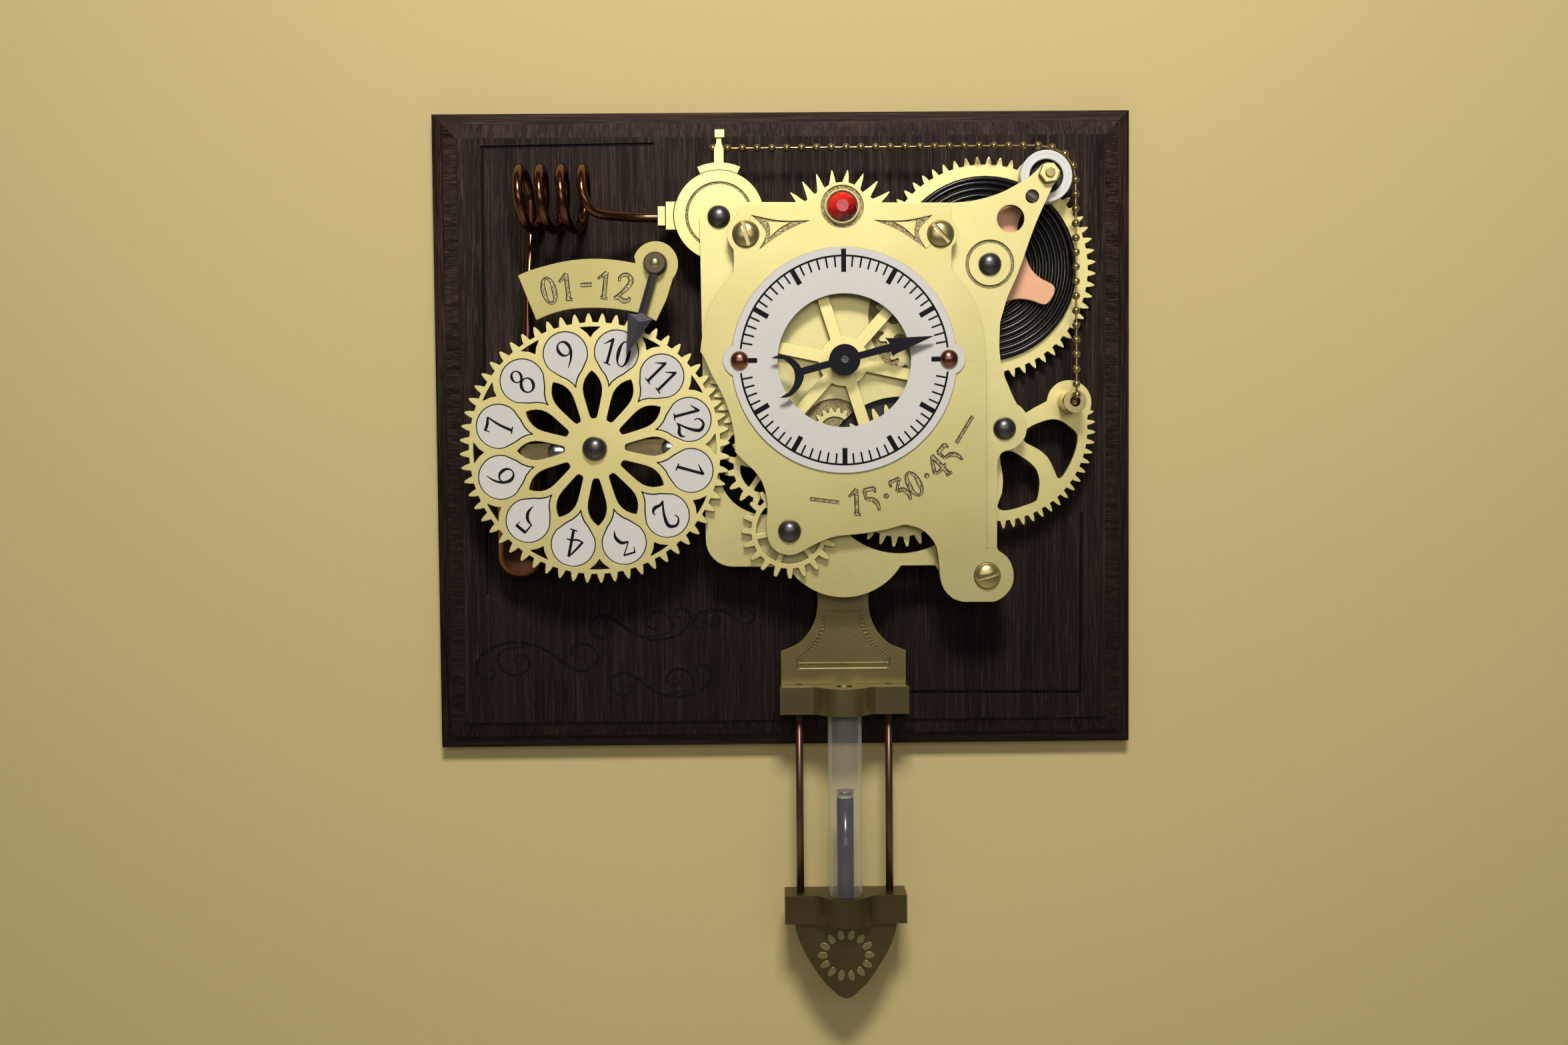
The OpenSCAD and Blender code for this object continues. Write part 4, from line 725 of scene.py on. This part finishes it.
def numeral(d, g=0.0):
    """plain pen numerals one unit high, standing on y = 0"""
    if d == "0":
        return [oval((0, 0.5), 0.27, 0.51, 0.14, 0.045, -8, g)]
    if d == "1":
        return [stroke([(-0.02, 0), (0.0, 0.5), (0.02, 1.0)], [0.115, 0.105, 0.11], g, 2),
                stroke([(0.045, 1.0), (-0.10, 0.87), (-0.29, 0.72)], [0.09, 0.075, 0.02], g),
                stroke([(-0.15, 0.03), (0.13, -0.02)], [0.05, 0.05], g, 1)]
    if d == "2":
        return [stroke([(-0.19, 0.70), (-0.22, 0.84), (-0.10, 0.97), (0.06, 1.0), (0.22, 0.86), (0.21, 0.68), (0.02, 0.36), (-0.28, 0.02)],
                       [0.04, 0.05, 0.08, 0.10, 0.13, 0.13, 0.09, 0.06], g),
                stroke([(-0.29, 0.04), (-0.10, 0.07), (0.10, 0.0), (0.25, 0.05), (0.31, 0.19)], [0.05, 0.10, 0.13, 0.09, 0.03], g)]
    if d == "3":
        return [stroke([(-0.29, 0.77), (-0.26, 1.0)], [0.03, 0.06], g, 1), stroke([(-0.28, 0.97), (0.16, 0.97)], [0.07, 0.07], g, 1),
                stroke([(0.16, 0.98), (0.0, 0.76), (-0.15, 0.53)], [0.05, 0.045, 0.05], g, 3),
                stroke([(-0.15, 0.53), (0.10, 0.50), (0.25, 0.26), (0.22, 0.0)], [0.06, 0.12, 0.11, 0.02], g)]
    if d == "4":
        return [stroke([(0.10, 0), (0.07, 1.0)], [0.11, 0.10], g, 1), stroke([(0.07, 1.0), (-0.13, 0.70), (-0.32, 0.36)], [0.05, 0.08, 0.09], g, 3),
                stroke([(-0.33, 0.38), (-0.12, 0.33), (0.10, 0.38), (0.28, 0.37)], [0.05, 0.07, 0.07, 0.04], g),
                stroke([(-0.04, 0.02), (0.24, -0.01)], [0.05, 0.05], g, 1)]
    if d == "5":
        return [stroke([(-0.24, 0.91), (0.20, 0.93)], [0.11, 0.11], g, 1), stroke([(0.20, 0.96), (0.19, 0.74)], [0.06, 0.02], g, 1),
                stroke([(-0.22, 0.93), (-0.20, 0.54)], [0.07, 0.05], g, 1),
                stroke([(-0.20, 0.56), (0.04, 0.50), (0.20, 0.30), (0.22, 0.0)], [0.05, 0.11, 0.11, 0.02], g)]
    if d == "6":
        return [oval((0, 0.30), 0.28, 0.30, 0.12, 0.05, 25, g), stroke([(-0.22, 0.24), (-0.20, 0.50), (-0.04, 0.78), (0.22, 1.0)], [0.11, 0.10, 0.07, 0.02], g)]
    if d == "7":
        return [stroke([(-0.27, 0.78), (-0.24, 1.0)], [0.03, 0.06], g, 1), stroke([(-0.26, 0.96), (0.0, 0.93), (0.24, 0.98)], [0.09, 0.11, 0.06], g, 3),
                stroke([(0.24, 0.98), (0.06, 0.50), (-0.04, 0.0)], [0.05, 0.09, 0.10], g, 3), stroke([(-0.16, 0.0), (0.10, 0.02)], [0.05, 0.05], g, 1)]
    if d == "8":
        return [oval((-0.03, 0.77), 0.22, 0.235, 0.10, 0.045, -35, g), oval((0.02, 0.28), 0.28, 0.285, 0.12, 0.05, -35, g)]
    if d == "9":
        return [oval((0, 0.71), 0.27, 0.29, 0.12, 0.05, 25, g), stroke([(0.215, 0.80), (0.22, 0.55), (0.12, 0.26), (-0.06, 0.0)], [0.09, 0.10, 0.07, 0.02], g)]
    if d == ".":
        return [[circle((0, 0.5), 0.07 + g / 2, 16)]]
    if d == "-":
        return [stroke([(-0.22, 0.5), (0.22, 0.5)], [0.10, 0.10], g, 1)]
    raise KeyError(d)


def put_shapes(shapes, c, size, turn=0.0, mid=0.5):
    """place unit shapes: c the middle, size mm a unit, turned counter-clockwise in degrees"""
    return [[[(c[0] + q[0], c[1] + q[1]) for q in rot([(x * size, (y - mid) * size) for x, y in loop], turn)] for loop in sh] for sh in shapes]


def stack(shapes, h0, h1, gap=0.002):
    """prisms of all shapes, each a hair higher than the last so that none share a face"""
    return merge([prism_mesh(sh, h0, h1 + gap * i) for i, sh in enumerate(shapes)])


def swap(ob, *nodes):
    """ob is shown in place of these construction nodes"""
    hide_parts(*nodes)
    return ob


def bar_shape(a, b, w):
    return [ribbon([a, b], w)]


# --------------------------------------------------------- dial graphics
def polar(c, r, a):
    """a clockwise from twelve, in degrees"""
    return (c[0] + r * math.sin(math.radians(a)), c[1] + r * math.cos(math.radians(a)))


marks = []
for a0, a1 in ((-83.4, 83.4), (96.6, 263.4)):
    n = 80
    pts = [polar(DIAL, 42.45, a0 + (a1 - a0) * i / n) for i in range(n + 1)]
    marks.append([ribbon(pts, 0.82)])
for k in range(72):
    a = 5 * k
    if k % 18 == 0:
        continue
    if k % 6 == 0:
        marks.append(bar_shape(polar(DIAL, 42.3, a), polar(DIAL, 35.7, a), 2.05))
    elif min(abs(a - 90), abs(a - 270)) > 6:
        e = polar(DIAL, 38.25, a)
        marks.append(bar_shape(polar(DIAL, 42.4, a), e, 0.72))
        marks.append([circle(e, 0.36, 14)])
marks.append(bar_shape(polar(DIAL, 45.2, 0), polar(DIAL, 35.85, 0), 2.0))
marks.append(bar_shape(polar(DIAL, 42.3, 180), polar(DIAL, 35.7, 180), 2.05))
for a in (90, 270):
    marks.append(bar_shape(polar((DIAL[0], DIAL[1] + 0.2), 39.6, a), polar((DIAL[0], DIAL[1] + 0.2), 35.5, a), 2.0))
piece("dial_marks", stack(marks, DIAL_F - 0.02, DIAL_F + 0.02, 0.0006), "ink", "dial_ring")
# painted shade: a thin dark ring round the foot of the dial ring, where it stands on the front plate
piece("dial_foot_shade", prism_mesh([circle(DIAL, 45.98, 160), circle(DIAL, 45.72, 160)], FRONT_F + 0.02, FRONT_F + 0.5), "ink", "dial_ring")


# --------------------------------------------------------- hour gear tiles
def drop(r, flank):
    return arc((40.5, 0), r, -120, 120, 48) + [(40.5 - x, y) for x, y in flank] + [(40.5 - x, -y) for x, y in flank[-2::-1]]


WIDE = drop(9.22, [(8.4, 4.77), (10.3, 2.57), (12.6, 0.88), (14.8, 0)])
NARROW = drop(8.84, [(8.1, 4.4), (9.95, 2.25), (12.05, 0.68), (13.5, 0)])
rims, figures = [], []
for n in range(1, 13):
    a = 90 - 13.4 - 30 * (n - 10)
    rims.append([rot(WIDE, a, HOUR), rot(NARROW, a, HOUR)])
    c = (HOUR[0] + 40.3 * math.cos(math.radians(a)), HOUR[1] + 40.3 * math.sin(math.radians(a)))
    word = str(n)
    for i, d in enumerate(word):
        off = 0.0 if len(word) == 1 else (-0.25, 0.28)[i]
        sh = [[[(x + off, y) for x, y in loop] for loop in s] for s in numeral(d)]
        figures += put_shapes(sh, c, 11.3 if len(word) == 1 else 10.6, a - 90)
piece("tile_rims", stack(rims, GEAR_F - 1.15, GEAR_F - 0.06, 0.0), "ink", "number_tiles")
piece("tile_numbers", stack(figures, GEAR_F - 0.12, GEAR_F - 0.08, 0.0006), "ink", "number_tiles")

# ------------------------------------------- etched numbers and ornament
outline, fill = [], []


def etch(text, place, size):
    for i, d in enumerate(text):
        c, turn = place(i)
        outline.extend(put_shapes(numeral(d, 0.075), c, size, turn))
        fill.extend(put_shapes(numeral(d, -0.01), (c[0] + 0.06, c[1] - 0.1), size, turn))


def on_plaque(i):
    a = -15.2 + 6.6 * i
    return polar(HOUR, 66.6, a), -a


def on_plate(i):
    a = 4.6 + 6.15 * i
    return (DIAL[0] + 58.0 * math.sin(math.radians(a)), DIAL[1] - 58.0 * math.cos(math.radians(a))), a


def etched_pieces(name, h, like, lines=()):
    for a, b, w in lines:
        outline.append(bar_shape(a, b, w))
        d = np.array(b) - np.array(a)
        d = d / np.linalg.norm(d) * 0.25
        fill.append(bar_shape((a[0] + d[0] + 0.05, a[1] + d[1] - 0.1), (b[0] - d[0] + 0.05, b[1] - d[1] - 0.1), w - 0.75))
    piece(name + "_shade", stack(outline, h - 0.02, h + 0.012, 0.0006), "shade", like)
    piece(name, stack(fill, h - 0.02, h + 0.035, 0.0006), "etch", like)
    outline.clear()
    fill.clear()


etch("01-12", on_plaque, 10.6)
etched_pieces("plaque_numbers", 30.0, "hours_plaque")
etch("15.30.45", on_plate, 10.4)
FRONT_PX = lambda q: sheet(q, FRONT_F)
etched_pieces("plate_numbers", FRONT_F, "front_plate",
              [(FRONT_PX((1215, 748.5)), FRONT_PX((1258.5, 754)), 1.55), (FRONT_PX((1434.5, 665)), FRONT_PX((1459, 624.5)), 1.55)])

# scrolls cut into the board
SCROLL = [(1010, 505), (1045, 510), (1045, 545), (1000, 560), (950, 530), (940, 490), (975, 450), (1030, 445), (1090, 480), (1150, 525),
          (1220, 555), (1290, 565), (1370, 550), (1430, 510), (1455, 465), (1445, 420), (1410, 405), (1380, 420), (1385, 445), (1410, 450)]
BRANCH = [(1220, 550), (1330, 535), (1365, 500), (1350, 455), (1310, 425), (1260, 430), (1230, 465), (1240, 500), (1270, 510), (1290, 490),
          (1285, 475)]


def scroll(scale=1.0, centre=None, flip=1, tip=1):
    """the scroll and its branch on the board, or a copy about another centre on the drawing sheet"""
    out = []
    for line, w in ((SCROLL, 1.25), (BRANCH, 1.05)):
        ps = [(640 + x / 3.41, 880 + y / 3.41) for x, y in line]
        if centre:
            ps = [(centre[0] + flip * scale * (x - 991), centre[1] + tip * scale * (y - 1028)) for x, y in ps]
        c = curve(sheets(ps, 0.0), 8)
        m = len(c)
        out.append([ribbon(c, [w * min(1.0, 0.45 + 3.0 * min(i, m - 1 - i) / m) for i in range(m)])])
    return out


cuts = scroll() + scroll(1.2, (806, 985), -1, -1) + scroll(1.0, (960, 942), 1, 1) + scroll(0.6, (1086, 925), -1, -1)
piece("board_scrolls", stack(cuts, -0.05, 0.015, 0.0006), "cut_wood", "backboard")

# ------------------------------------------------------ turned and bent parts
def dome_mesh(c, h, r, rise, foot=0.25):
    return lathe_mesh(c, [(0, h + rise)] + [(r * math.sin(math.radians(t)), h + foot + (rise - foot) * math.cos(math.radians(t)))
                                            for t in range(5, 91, 5)] + [(r - 0.05, h + 0.02), (0, h)], 64)


nails = [((GAUGE[0], GAUGE[1] - 1.1), MAIN_F, 4.7, 3.5), (BARREL, MAIN_F, 4.7, 3.5), (SECTOR, MAIN_F, 4.7, 3.5), (SMALL, FRONT_F, 4.7, 3.5)]
swap(piece("round_nails", merge([dome_mesh(*q) for q in nails] + [dome_mesh(HOUR, GEAR_F + 1.0, 5.0, 4.0)]), "nail", "dome_nails", 50), "dome_nails")
EARS = [(DIAL[0] - 42.7, DIAL[1] + 0.3), (DIAL[0] + 42.7, DIAL[1] + 0.3)]
swap(piece("copper_nails", merge([dome_mesh(c, DIAL_F, 3.75, 2.9) for c in EARS] + [lathe_mesh(c, [(1.15, 31.0), (1.15, 28.0), (0, 28.0)], 24) for c in EARS]),
           "copper_nail", "dial_nails", 50), "dial_nails")
swap(piece("pointer_knob", dome_mesh(PLAQUE, 33.0, 2.9, 2.7), "old", "pointer_dome", 50), "pointer_dome")

# hour pointer: a raised ridge runs down the shaft and over the arrow head
edge = sheets([(978, 400), (957, 472), (942.7, 470.8), (940, 533), (978.9, 480.2), (969, 474), (990, 400)], 32.0)
ridge = sheets([(984, 397), (963.4, 470), (960.5, 484)], 32.0)
verts = [V(*p, 33.42) for p in edge] + [V(*p, 34.0) for p in edge] + [V(*ridge[0], 34.6), V(*ridge[1], 34.7), V(*ridge[2], 35.0)]
faces = [(i, (i + 1) % 7, 7 + (i + 1) % 7, 7 + i) for i in range(7)]
faces += [(0, 6, 5), (0, 5, 1), (1, 5, 3), (1, 3, 2), (5, 4, 3)]
faces += [(7, 8, 15, 14), (14, 15, 12, 13), (7, 14, 13), (8, 9, 16, 15), (15, 16, 11, 12), (9, 10, 16), (16, 10, 11)]
eye = lathe_mesh(PLAQUE, [(0, 33.42), (4.3, 33.42), (4.4, 33.55), (4.4, 34.6), (4.1, 34.95), (0, 34.98)], 64)
swap(piece("ridged_pointer", (verts, faces), "pointer", "hour_pointer", 12), "hour_pointer")
swap(piece("pointer_eye", eye, "bronze", "hour_pointer", 30), "hour_pointer")

# painted shade on the gauge: dark lines under the crown and beside the nozzle blocks, where they stand on the disc
lines = [(ribbon(arc(GAUGE, 18.8, 65.5, 114.5, 24), 0.42), 18.4, 18.56), (ribbon(arc(GAUGE, 18.8, 162.5, 197.5, 16), 0.42), 19.5, 19.64),
         (ribbon([(GAUGE[0] - 22.2, GAUGE[1] - 4.3), (GAUGE[0] - 22.2, GAUGE[1] + 3.9)], 0.42), 18.9, 19.05)]
piece("gauge_joint_shade", merge([prism_mesh([q], h0, h1) for q, h0, h1 in lines]), "shade", "gauge_fittings")

# domed silver screws on the bridge strip, each ringed with painted shade where it sits down in its countersink
BRIDGE = [(-93.7, -8.6), (-46.8, -7.4)]
heads = [lathe_mesh(c, [(0, 23.9), (0.9, 23.86), (1.8, 23.74), (2.5, 23.6), (2.85, 23.52), (2.9, 23.45), (1.6, 23.45), (1.6, 16.0), (0, 16.0)], 48) for c in BRIDGE]
swap(piece("silver_screws", merge(heads), "nickel", "bridge_screws", 60), "bridge_screws")
piece("screw_sink_shade", merge([prism_mesh([circle(c, 4.1, 64), circle(c, 2.95, 64)], 23.45, 23.54) for c in BRIDGE]), "shade", "gear_bridge")

# painted shade: dark rings in the gaps round the stone and the plate screws
gaps = [(JEWEL, 6.35, 5.9, FRONT_F + 1.03, FRONT_F + 1.12)]
gaps += [(c, 5.56, 5.2, FRONT_F - 0.02, FRONT_F + 0.03) for c in (SCREW_L, SCREW_R, FOOT)]
piece("dark_gaps", merge([prism_mesh([circle(c, r1, 96), circle(c, r0, 96)], h0, h1) for c, r1, r0, h0, h1 in gaps]), "shade", "jewel_bezel")

# faceted stone: table, crown facets in two rows, girdle
stone = [(0, 34.0)]
verts, faces = [], []
N = 10
rows = [(2.55, 34.05, 0.0), (4.35, 33.3, 0.5), (5.6, 32.35, 0.0), (6.05, 31.7, 0.5)]
for r, h, off in rows:
    verts += [V(JEWEL[0] + r * math.cos(2 * math.pi * (i + off) / N), JEWEL[1] + r * math.sin(2 * math.pi * (i + off) / N), h) for i in range(N)]
faces.append(tuple(range(N)))
for k in range(len(rows) - 1):
    a, b = k * N, (k + 1) * N
    s0 = 0 if rows[k][2] < rows[k + 1][2] else 1
    for i in range(N):
        j = (i + 1) % N
        if s0 == 0:
            faces += [(a + i, b + i, a + j), (b + i, b + j, a + j)]
        else:
            faces += [(a + i, b + j, a + j), (a + i, b + i, b + j)]
m = len(verts)
verts += [V(JEWEL[0] + 6.05 * math.cos(2 * math.pi * (i + 0.5) / N), JEWEL[1] + 6.05 * math.sin(2 * math.pi * (i + 0.5) / N), 31.4) for i in range(N)]
faces += [(m - N + i, m + i, m + (i + 1) % N, m - N + (i + 1) % N) for i in range(N)]
faces.append(tuple(m + i for i in range(N))[::-1])
swap(piece("cut_stone", (verts, faces), "ruby", "jewel", 5), "jewel")

# mainspring: rounded turns of one long coil, the last one wound hard against the rim
spring = []
turns, per = 11.0, 56
for i in range(int((turns + 1) * per) + 1):
    a = math.radians(-20 + 360 * i / per)
    r = min(8.75 + 29.1 * i / (turns * per), 37.85)
    spring.append((BARREL[0] + r * math.cos(a), BARREL[1] + r * math.sin(a), 8.0))
swap(piece("spring_coil", tube_mesh(spring, 1.18, 14, (0, 1, 0)), "spring", "mainspring", 60), "mainspring")

# copper tube: level run, then forward into the turns, then down into the vessel
run = [(GAUGE[0] - 25.4, 88.3, 16.2), (-57, 88.3, 16.5), (-63, 88.3, 18.2), (-68, 88.3, 20.8), (-72.5, 88.3, 23.6), (-75.6, 88.8, 25.6),
       (-77.8, 89.9, 27.0), (-79.4, 91.8, 28.0), (-80.6, 94.4, 28.6)]


def coil_turn(a, x):
    t = math.radians(a)
    return (x - 1.3 * math.cos(t), 96.3 + 12.5 * math.sin(t), 16.2 + 12.5 * math.cos(t))


coil = [coil_turn(a, -82.4 - 8.7 * (a - 90) / 360) for a in range(5, 1176, 13)]
coil += [coil_turn(a, -82.4 - 3 * 8.7 + 0.8 * (a - 1170) / 90) for a in range(1190, 1266, 15)]
tail = [(-106.4, 90, 3.9), (-106.4, 84, 4.5), (-106.4, 78, 5.8), (-106.5, 72, 7.5), (-106.6, 66, 9.2), (-106.8, 60, 10.3), (-107, 54, 10.6),
        (-107.3, 40, 10.6), (-107.6, 29, 10.6)]
swap(piece("bent_tube", tube_mesh(curve(run + coil + tail, 3), 2.0, 20), "dark_copper", "copper_tube", 60), "copper_tube")
vessel = [(0, 28.3), (3.2, 28.2)] + [(3.6 + 7.0 * math.sin(math.radians(t)), 21.5 + 6.6 * math.cos(math.radians(t))) for t in range(0, 91, 9)]
vessel += [(10.6, 0), (10.6, -52)] + [(10.6 * math.cos(math.radians(t)), -52 - 10.6 * math.sin(math.radians(t))) for t in range(8, 90, 8)] + [(0, -62.6)]
neck = [(0, 31.2), (3.1, 31.2), (3.4, 30.9), (3.4, 25.0), (0, 25.0)]
swap(piece("copper_flask", merge([upright_mesh((-110.8, 10.7), vessel, 64), upright_mesh((-107.6, 10.6), neck, 48)]), "dark_copper", "copper_vessel", 50),
     "copper_vessel")

# bead chain
top0 = sheet((1091, 221.5), 16)
ptop = (PULLEY[0] + 13.6 * math.sin(math.radians(-12)), PULLEY[1] + 13.6 * math.cos(math.radians(-12)))
pout = (PULLEY[0] + 12.9 * math.sin(math.radians(95)), PULLEY[1] + 12.9 * math.cos(math.radians(95)))
pend_ = (LUG[0] + 0.6, LUG[1] + 7.2)
chain = [(top0[0] - 6.1, top0[1] + 0.1, 14.4)]
chain += [(top0[0] + (ptop[0] - top0[0]) * i / 21, top0[1] + (ptop[1] - top0[1]) * i / 21, 14.4) for i in range(22)]
chain += [(PULLEY[0] + 12.75 * math.sin(math.radians(a)), PULLEY[1] + 12.75 * math.cos(math.radians(a)), 14.4) for a in (14, 41, 68)]
chain += [(pout[0] + (pend_[0] - pout[0]) * i / 14, pout[1] + (pend_[1] - pout[1]) * i / 14, 14.4 + 11.1 * i / 14) for i in range(15)]
chain += [(LUG[0] + 0.3, LUG[1] + 2.6, 28.2), (LUG[0], LUG[1], 24.2)]
parts = [sphere_mesh(q, 1.65, 20, 12) for q in chain]
parts += [tube_mesh([a, b], 0.42, 8, (0.3, 1, 0.2)) for a, b in zip(chain, chain[1:])]
swap(piece("beads", merge(parts), "bead", "bead_chain", 50), "bead_chain")

# pulley: white rims, a dark rough recess and a small hub
pulley = [(2.05, 11.0), (10.5, 11.0), (10.8, 11.25), (10.8, 11.9), (10.2, 13.0), (9.9, 14.4), (10.2, 15.8), (10.8, 16.9), (10.8, 17.7), (10.5, 18.0),
          (9.3, 18.0), (9.15, 17.8), (8.9, 17.8), (8.75, 18.0), (7.3, 18.0), (7.0, 17.7), (6.95, 15.2), (4.3, 15.2), (4.2, 18.0), (4.0, 18.2), (2.05, 18.2), (2.05, 11.0)]
swap(piece("grooved_pulley", lathe_mesh(PULLEY, pulley, 96), "pulley", "pulley", 40), "pulley")
piece("pulley_recess", lathe_mesh(PULLEY, [(6.93, 17.3), (6.9, 15.23), (4.35, 15.23), (4.3, 17.6)], 64), "recess", "pulley")

# nut with eased corners, and the turned screw
nut = []
for h, r in ((23.0, 4.2), (23.25, 4.4), (25.85, 4.4), (26.2, 4.05)):
    nut.append((h, r))
verts, faces = [], []
for h, r in nut:
    verts += [V(PULLEY[0] + r * math.cos(math.radians(60 * i + 8)), PULLEY[1] + r * math.sin(math.radians(60 * i + 8)), h) for i in range(6)]
for k in range(3):
    faces += [(6 * k + i, 6 * k + (i + 1) % 6, 6 * k + 6 + (i + 1) % 6, 6 * k + 6 + i) for i in range(6)]
faces += [tuple(range(6))[::-1], tuple(range(18, 24))]
ob = swap(piece("hex_nut", (verts, faces), "gear", "pulley_nut", 30), "pulley_nut")
bevel(ob, 0.2, 2, 20)
screw = [(0, 9.6), (3.6, 9.6), (3.6, 10.8), (2.0, 10.8), (2.0, 18.4), (3.4, 18.4), (3.4, 20.0), (2.0, 20.0), (2.0, 26.9), (1.75, 27.35), (0, 27.45)]
swap(piece("turned_screw", lathe_mesh(PULLEY, screw, 48), "old", "pulley_screw", 40), "pulley_screw")

# ------------------------------------------------------------- pendulum
PX, PZ = 24.6, 38.0
side = curve([(7.9, -78), (8.6, -84.2), (11.6, -90.4), (15.4, -94.4), (19, -97.6)], 12)
rope = []
for i in range(2, len(side) - 1, 3):
    p, q = np.array(side[i]), np.array(side[min(i + 1, len(side) - 1)])
    t = (q - p) / (np.linalg.norm(q - p) + 1e-9)
    nrm = np.array([-t[1], t[0]])
    for s in (-1, 1):
        a, b = p - nrm * 1.35 - t * 0.35, p + nrm * 1.35 + t * 0.35
        rope.append(bar_shape((PX + s * a[0], a[1]), (PX + s * b[0], b[1]), 0.62))
for w, z0, hw in ((0.55, -76.6, 8.6), (0.55, -78.6, 8.6), (0.6, -99.6, 19.2), (0.6, -102.2, 19.2)):
    rope.append(bar_shape((PX - hw, z0), (PX + hw, z0), w))
for s in (-1, 1):
    rope.append(bar_shape((PX + s * 19.0, -99.4), (PX + s * 19.0, -102.4), 0.55))
    rope.append(bar_shape((PX + s * 8.5, -76.4), (PX + s * 8.5, -78.8), 0.55))
ob = piece("head_border", stack(rope, 6.6, 7.24, 0.001), "pend_high", "head_plate")
bevel(ob, 0.14, 1, 40)

petals = []
for i in range(14):
    a = 360 / 14 * i
    c = (PX + 9.6 * math.cos(math.radians(a)), -223.6 + 8.6 * math.sin(math.radians(a)))
    petals.append([rot([(2.3 * math.cos(t / 12 * 2 * math.pi) * (1 + 0.2 * math.cos(t / 12 * 2 * math.pi)), 1.5 * math.sin(t / 12 * 2 * math.pi)) for t in range(12)], a, c)])
ob = piece("bob_rosette", stack(petals, 13.9, 14.5, 0.001), "pend_high", "bob")
bevel(ob, 0.3, 2, 40)


# ------------------------------------------------------- camera, light, stage
cam_data = bpy.data.cameras.new("photo_view")
cam_data.sensor_width = 36.0
cam_data.sensor_fit = "HORIZONTAL"
cam_data.lens = 2287 / 2352 * 36.0
cam_data.clip_start = 0.01
cam_data.clip_end = 20
cam = bpy.data.objects.new("photo_view", cam_data)
bpy.context.scene.collection.objects.link(cam)
right = Vector((0.99991, -0.01027, -0.00837))
up = Vector((0.00877, 0.03935, 0.99919))
back = -Vector((0.00993, 0.99917, -0.03944))
cam.matrix_world = Matrix(((right.x, up.x, back.x, EYE[0] / 1000), (right.y, up.y, back.y, EYE[1] / 1000),
                           (right.z, up.z, back.z, EYE[2] / 1000), (0, 0, 0, 1)))
bpy.context.scene.camera = cam


def light(name, loc, target, size, power, colour=(1, 1, 1)):
    ld = bpy.data.lights.new(name, "AREA")
    ld.shape = "RECTANGLE"
    ld.size, ld.size_y = size
    ld.energy = power
    ld.color = colour
    lo = bpy.data.objects.new(name, ld)
    bpy.context.scene.collection.objects.link(lo)
    lo.location = loc
    lo.rotation_euler = (Vector(target) - Vector(loc)).to_track_quat("-Z", "Y").to_euler()
    return lo


light("key_softbox", (0.02, -0.80, 0.63), (0.02, 0, 0.02), (0.22, 0.18), 8.2, (1.0, 0.985, 0.95))
light("wide_fill", (0.02, -0.92, 0.16), (0.02, 0, 0.03), (0.85, 0.20), 1.1, (1.0, 0.99, 0.97))
light("back_fill", (-0.25, 0.95, 0.45), (0, 0, 0), (0.5, 0.5), 5.0, (1.0, 0.99, 0.97))
bpy.context.scene.view_settings.view_transform = "Standard"

world = bpy.data.worlds.new("soft_room")
bpy.context.scene.world = world
world.use_nodes = True
wt = world.node_tree
wt.nodes.clear()
wo = wt.nodes.new("ShaderNodeOutputWorld")
wb = wt.nodes.new("ShaderNodeBackground")
wtc = wt.nodes.new("ShaderNodeTexCoord")
wsep = wt.nodes.new("ShaderNodeSeparateXYZ")
wr = wt.nodes.new("ShaderNodeValToRGB")
wadd = wt.nodes.new("ShaderNodeMath")
wadd.operation = "MULTIPLY_ADD"
wadd.inputs[1].default_value = 0.5
wadd.inputs[2].default_value = 0.5
wt.links.new(wtc.outputs["Generated"], wsep.inputs[0])
wt.links.new(wsep.outputs[2], wadd.inputs[0])
wt.links.new(wadd.outputs[0], wr.inputs["Fac"])
wr.color_ramp.elements[0].position = 0.25
wr.color_ramp.elements[0].color = (0.50, 0.48, 0.44, 1)
wr.color_ramp.elements[1].position = 0.85
wr.color_ramp.elements[1].color = (1.0, 0.99, 0.96, 1)
wt.links.new(wr.outputs["Color"], wb.inputs["Color"])
wb.inputs["Strength"].default_value = 0.08
wt.links.new(wb.outputs[0], wo.inputs["Surface"])


def stage_plane(name, verts, colour, faces=((0, 1, 2, 3),)):
    me = bpy.data.meshes.new(name)
    me.from_pydata(verts, [], [tuple(f) for f in faces])
    ob = bpy.data.objects.new(name, me)
    bpy.context.scene.collection.objects.link(ob)
    m = Mat(name, Roughness=0.85, Metallic=0.0)
    n = m.noise(2.5, 3, 0.5)
    m.set("Base Color", m.mix(n, tuple(c * 0.96 for c in colour), colour))
    me.materials.append(m.m)
    return ob, m


# the wall lets a view from behind see the clock's back, through an opening that the board covers
wall, wm = stage_plane("pale_wall", [(x, 0.0004, z) for x, z in ((-1.6, -0.62), (1.6, -0.62), (1.6, 1.3), (-1.6, 1.3),
                                     (-0.146, -0.132), (0.146, -0.132), (0.146, 0.132), (-0.146, 0.132))],
                       (0.66, 0.53, 0.235), [(0, 1, 5, 4), (1, 2, 6, 5), (2, 3, 7, 6), (3, 0, 4, 7)])
geo = wm.n("ShaderNodeNewGeometry")
tr = wm.n("ShaderNodeBsdfTransparent")
ms = wm.n("ShaderNodeMixShader")
wm.link(geo.outputs["Backfacing"], ms.inputs[0])
wm.link(wm.b.outputs["BSDF"], ms.inputs[1])
wm.link(tr.outputs[0], ms.inputs[2])
wm.link(ms.outputs[0], wm.out.inputs["Surface"])
stage_plane("pale_floor", [(-3, -3, -0.62), (3, -3, -0.62), (3, 3, -0.62), (-3, 3, -0.62)], (0.78, 0.76, 0.72))
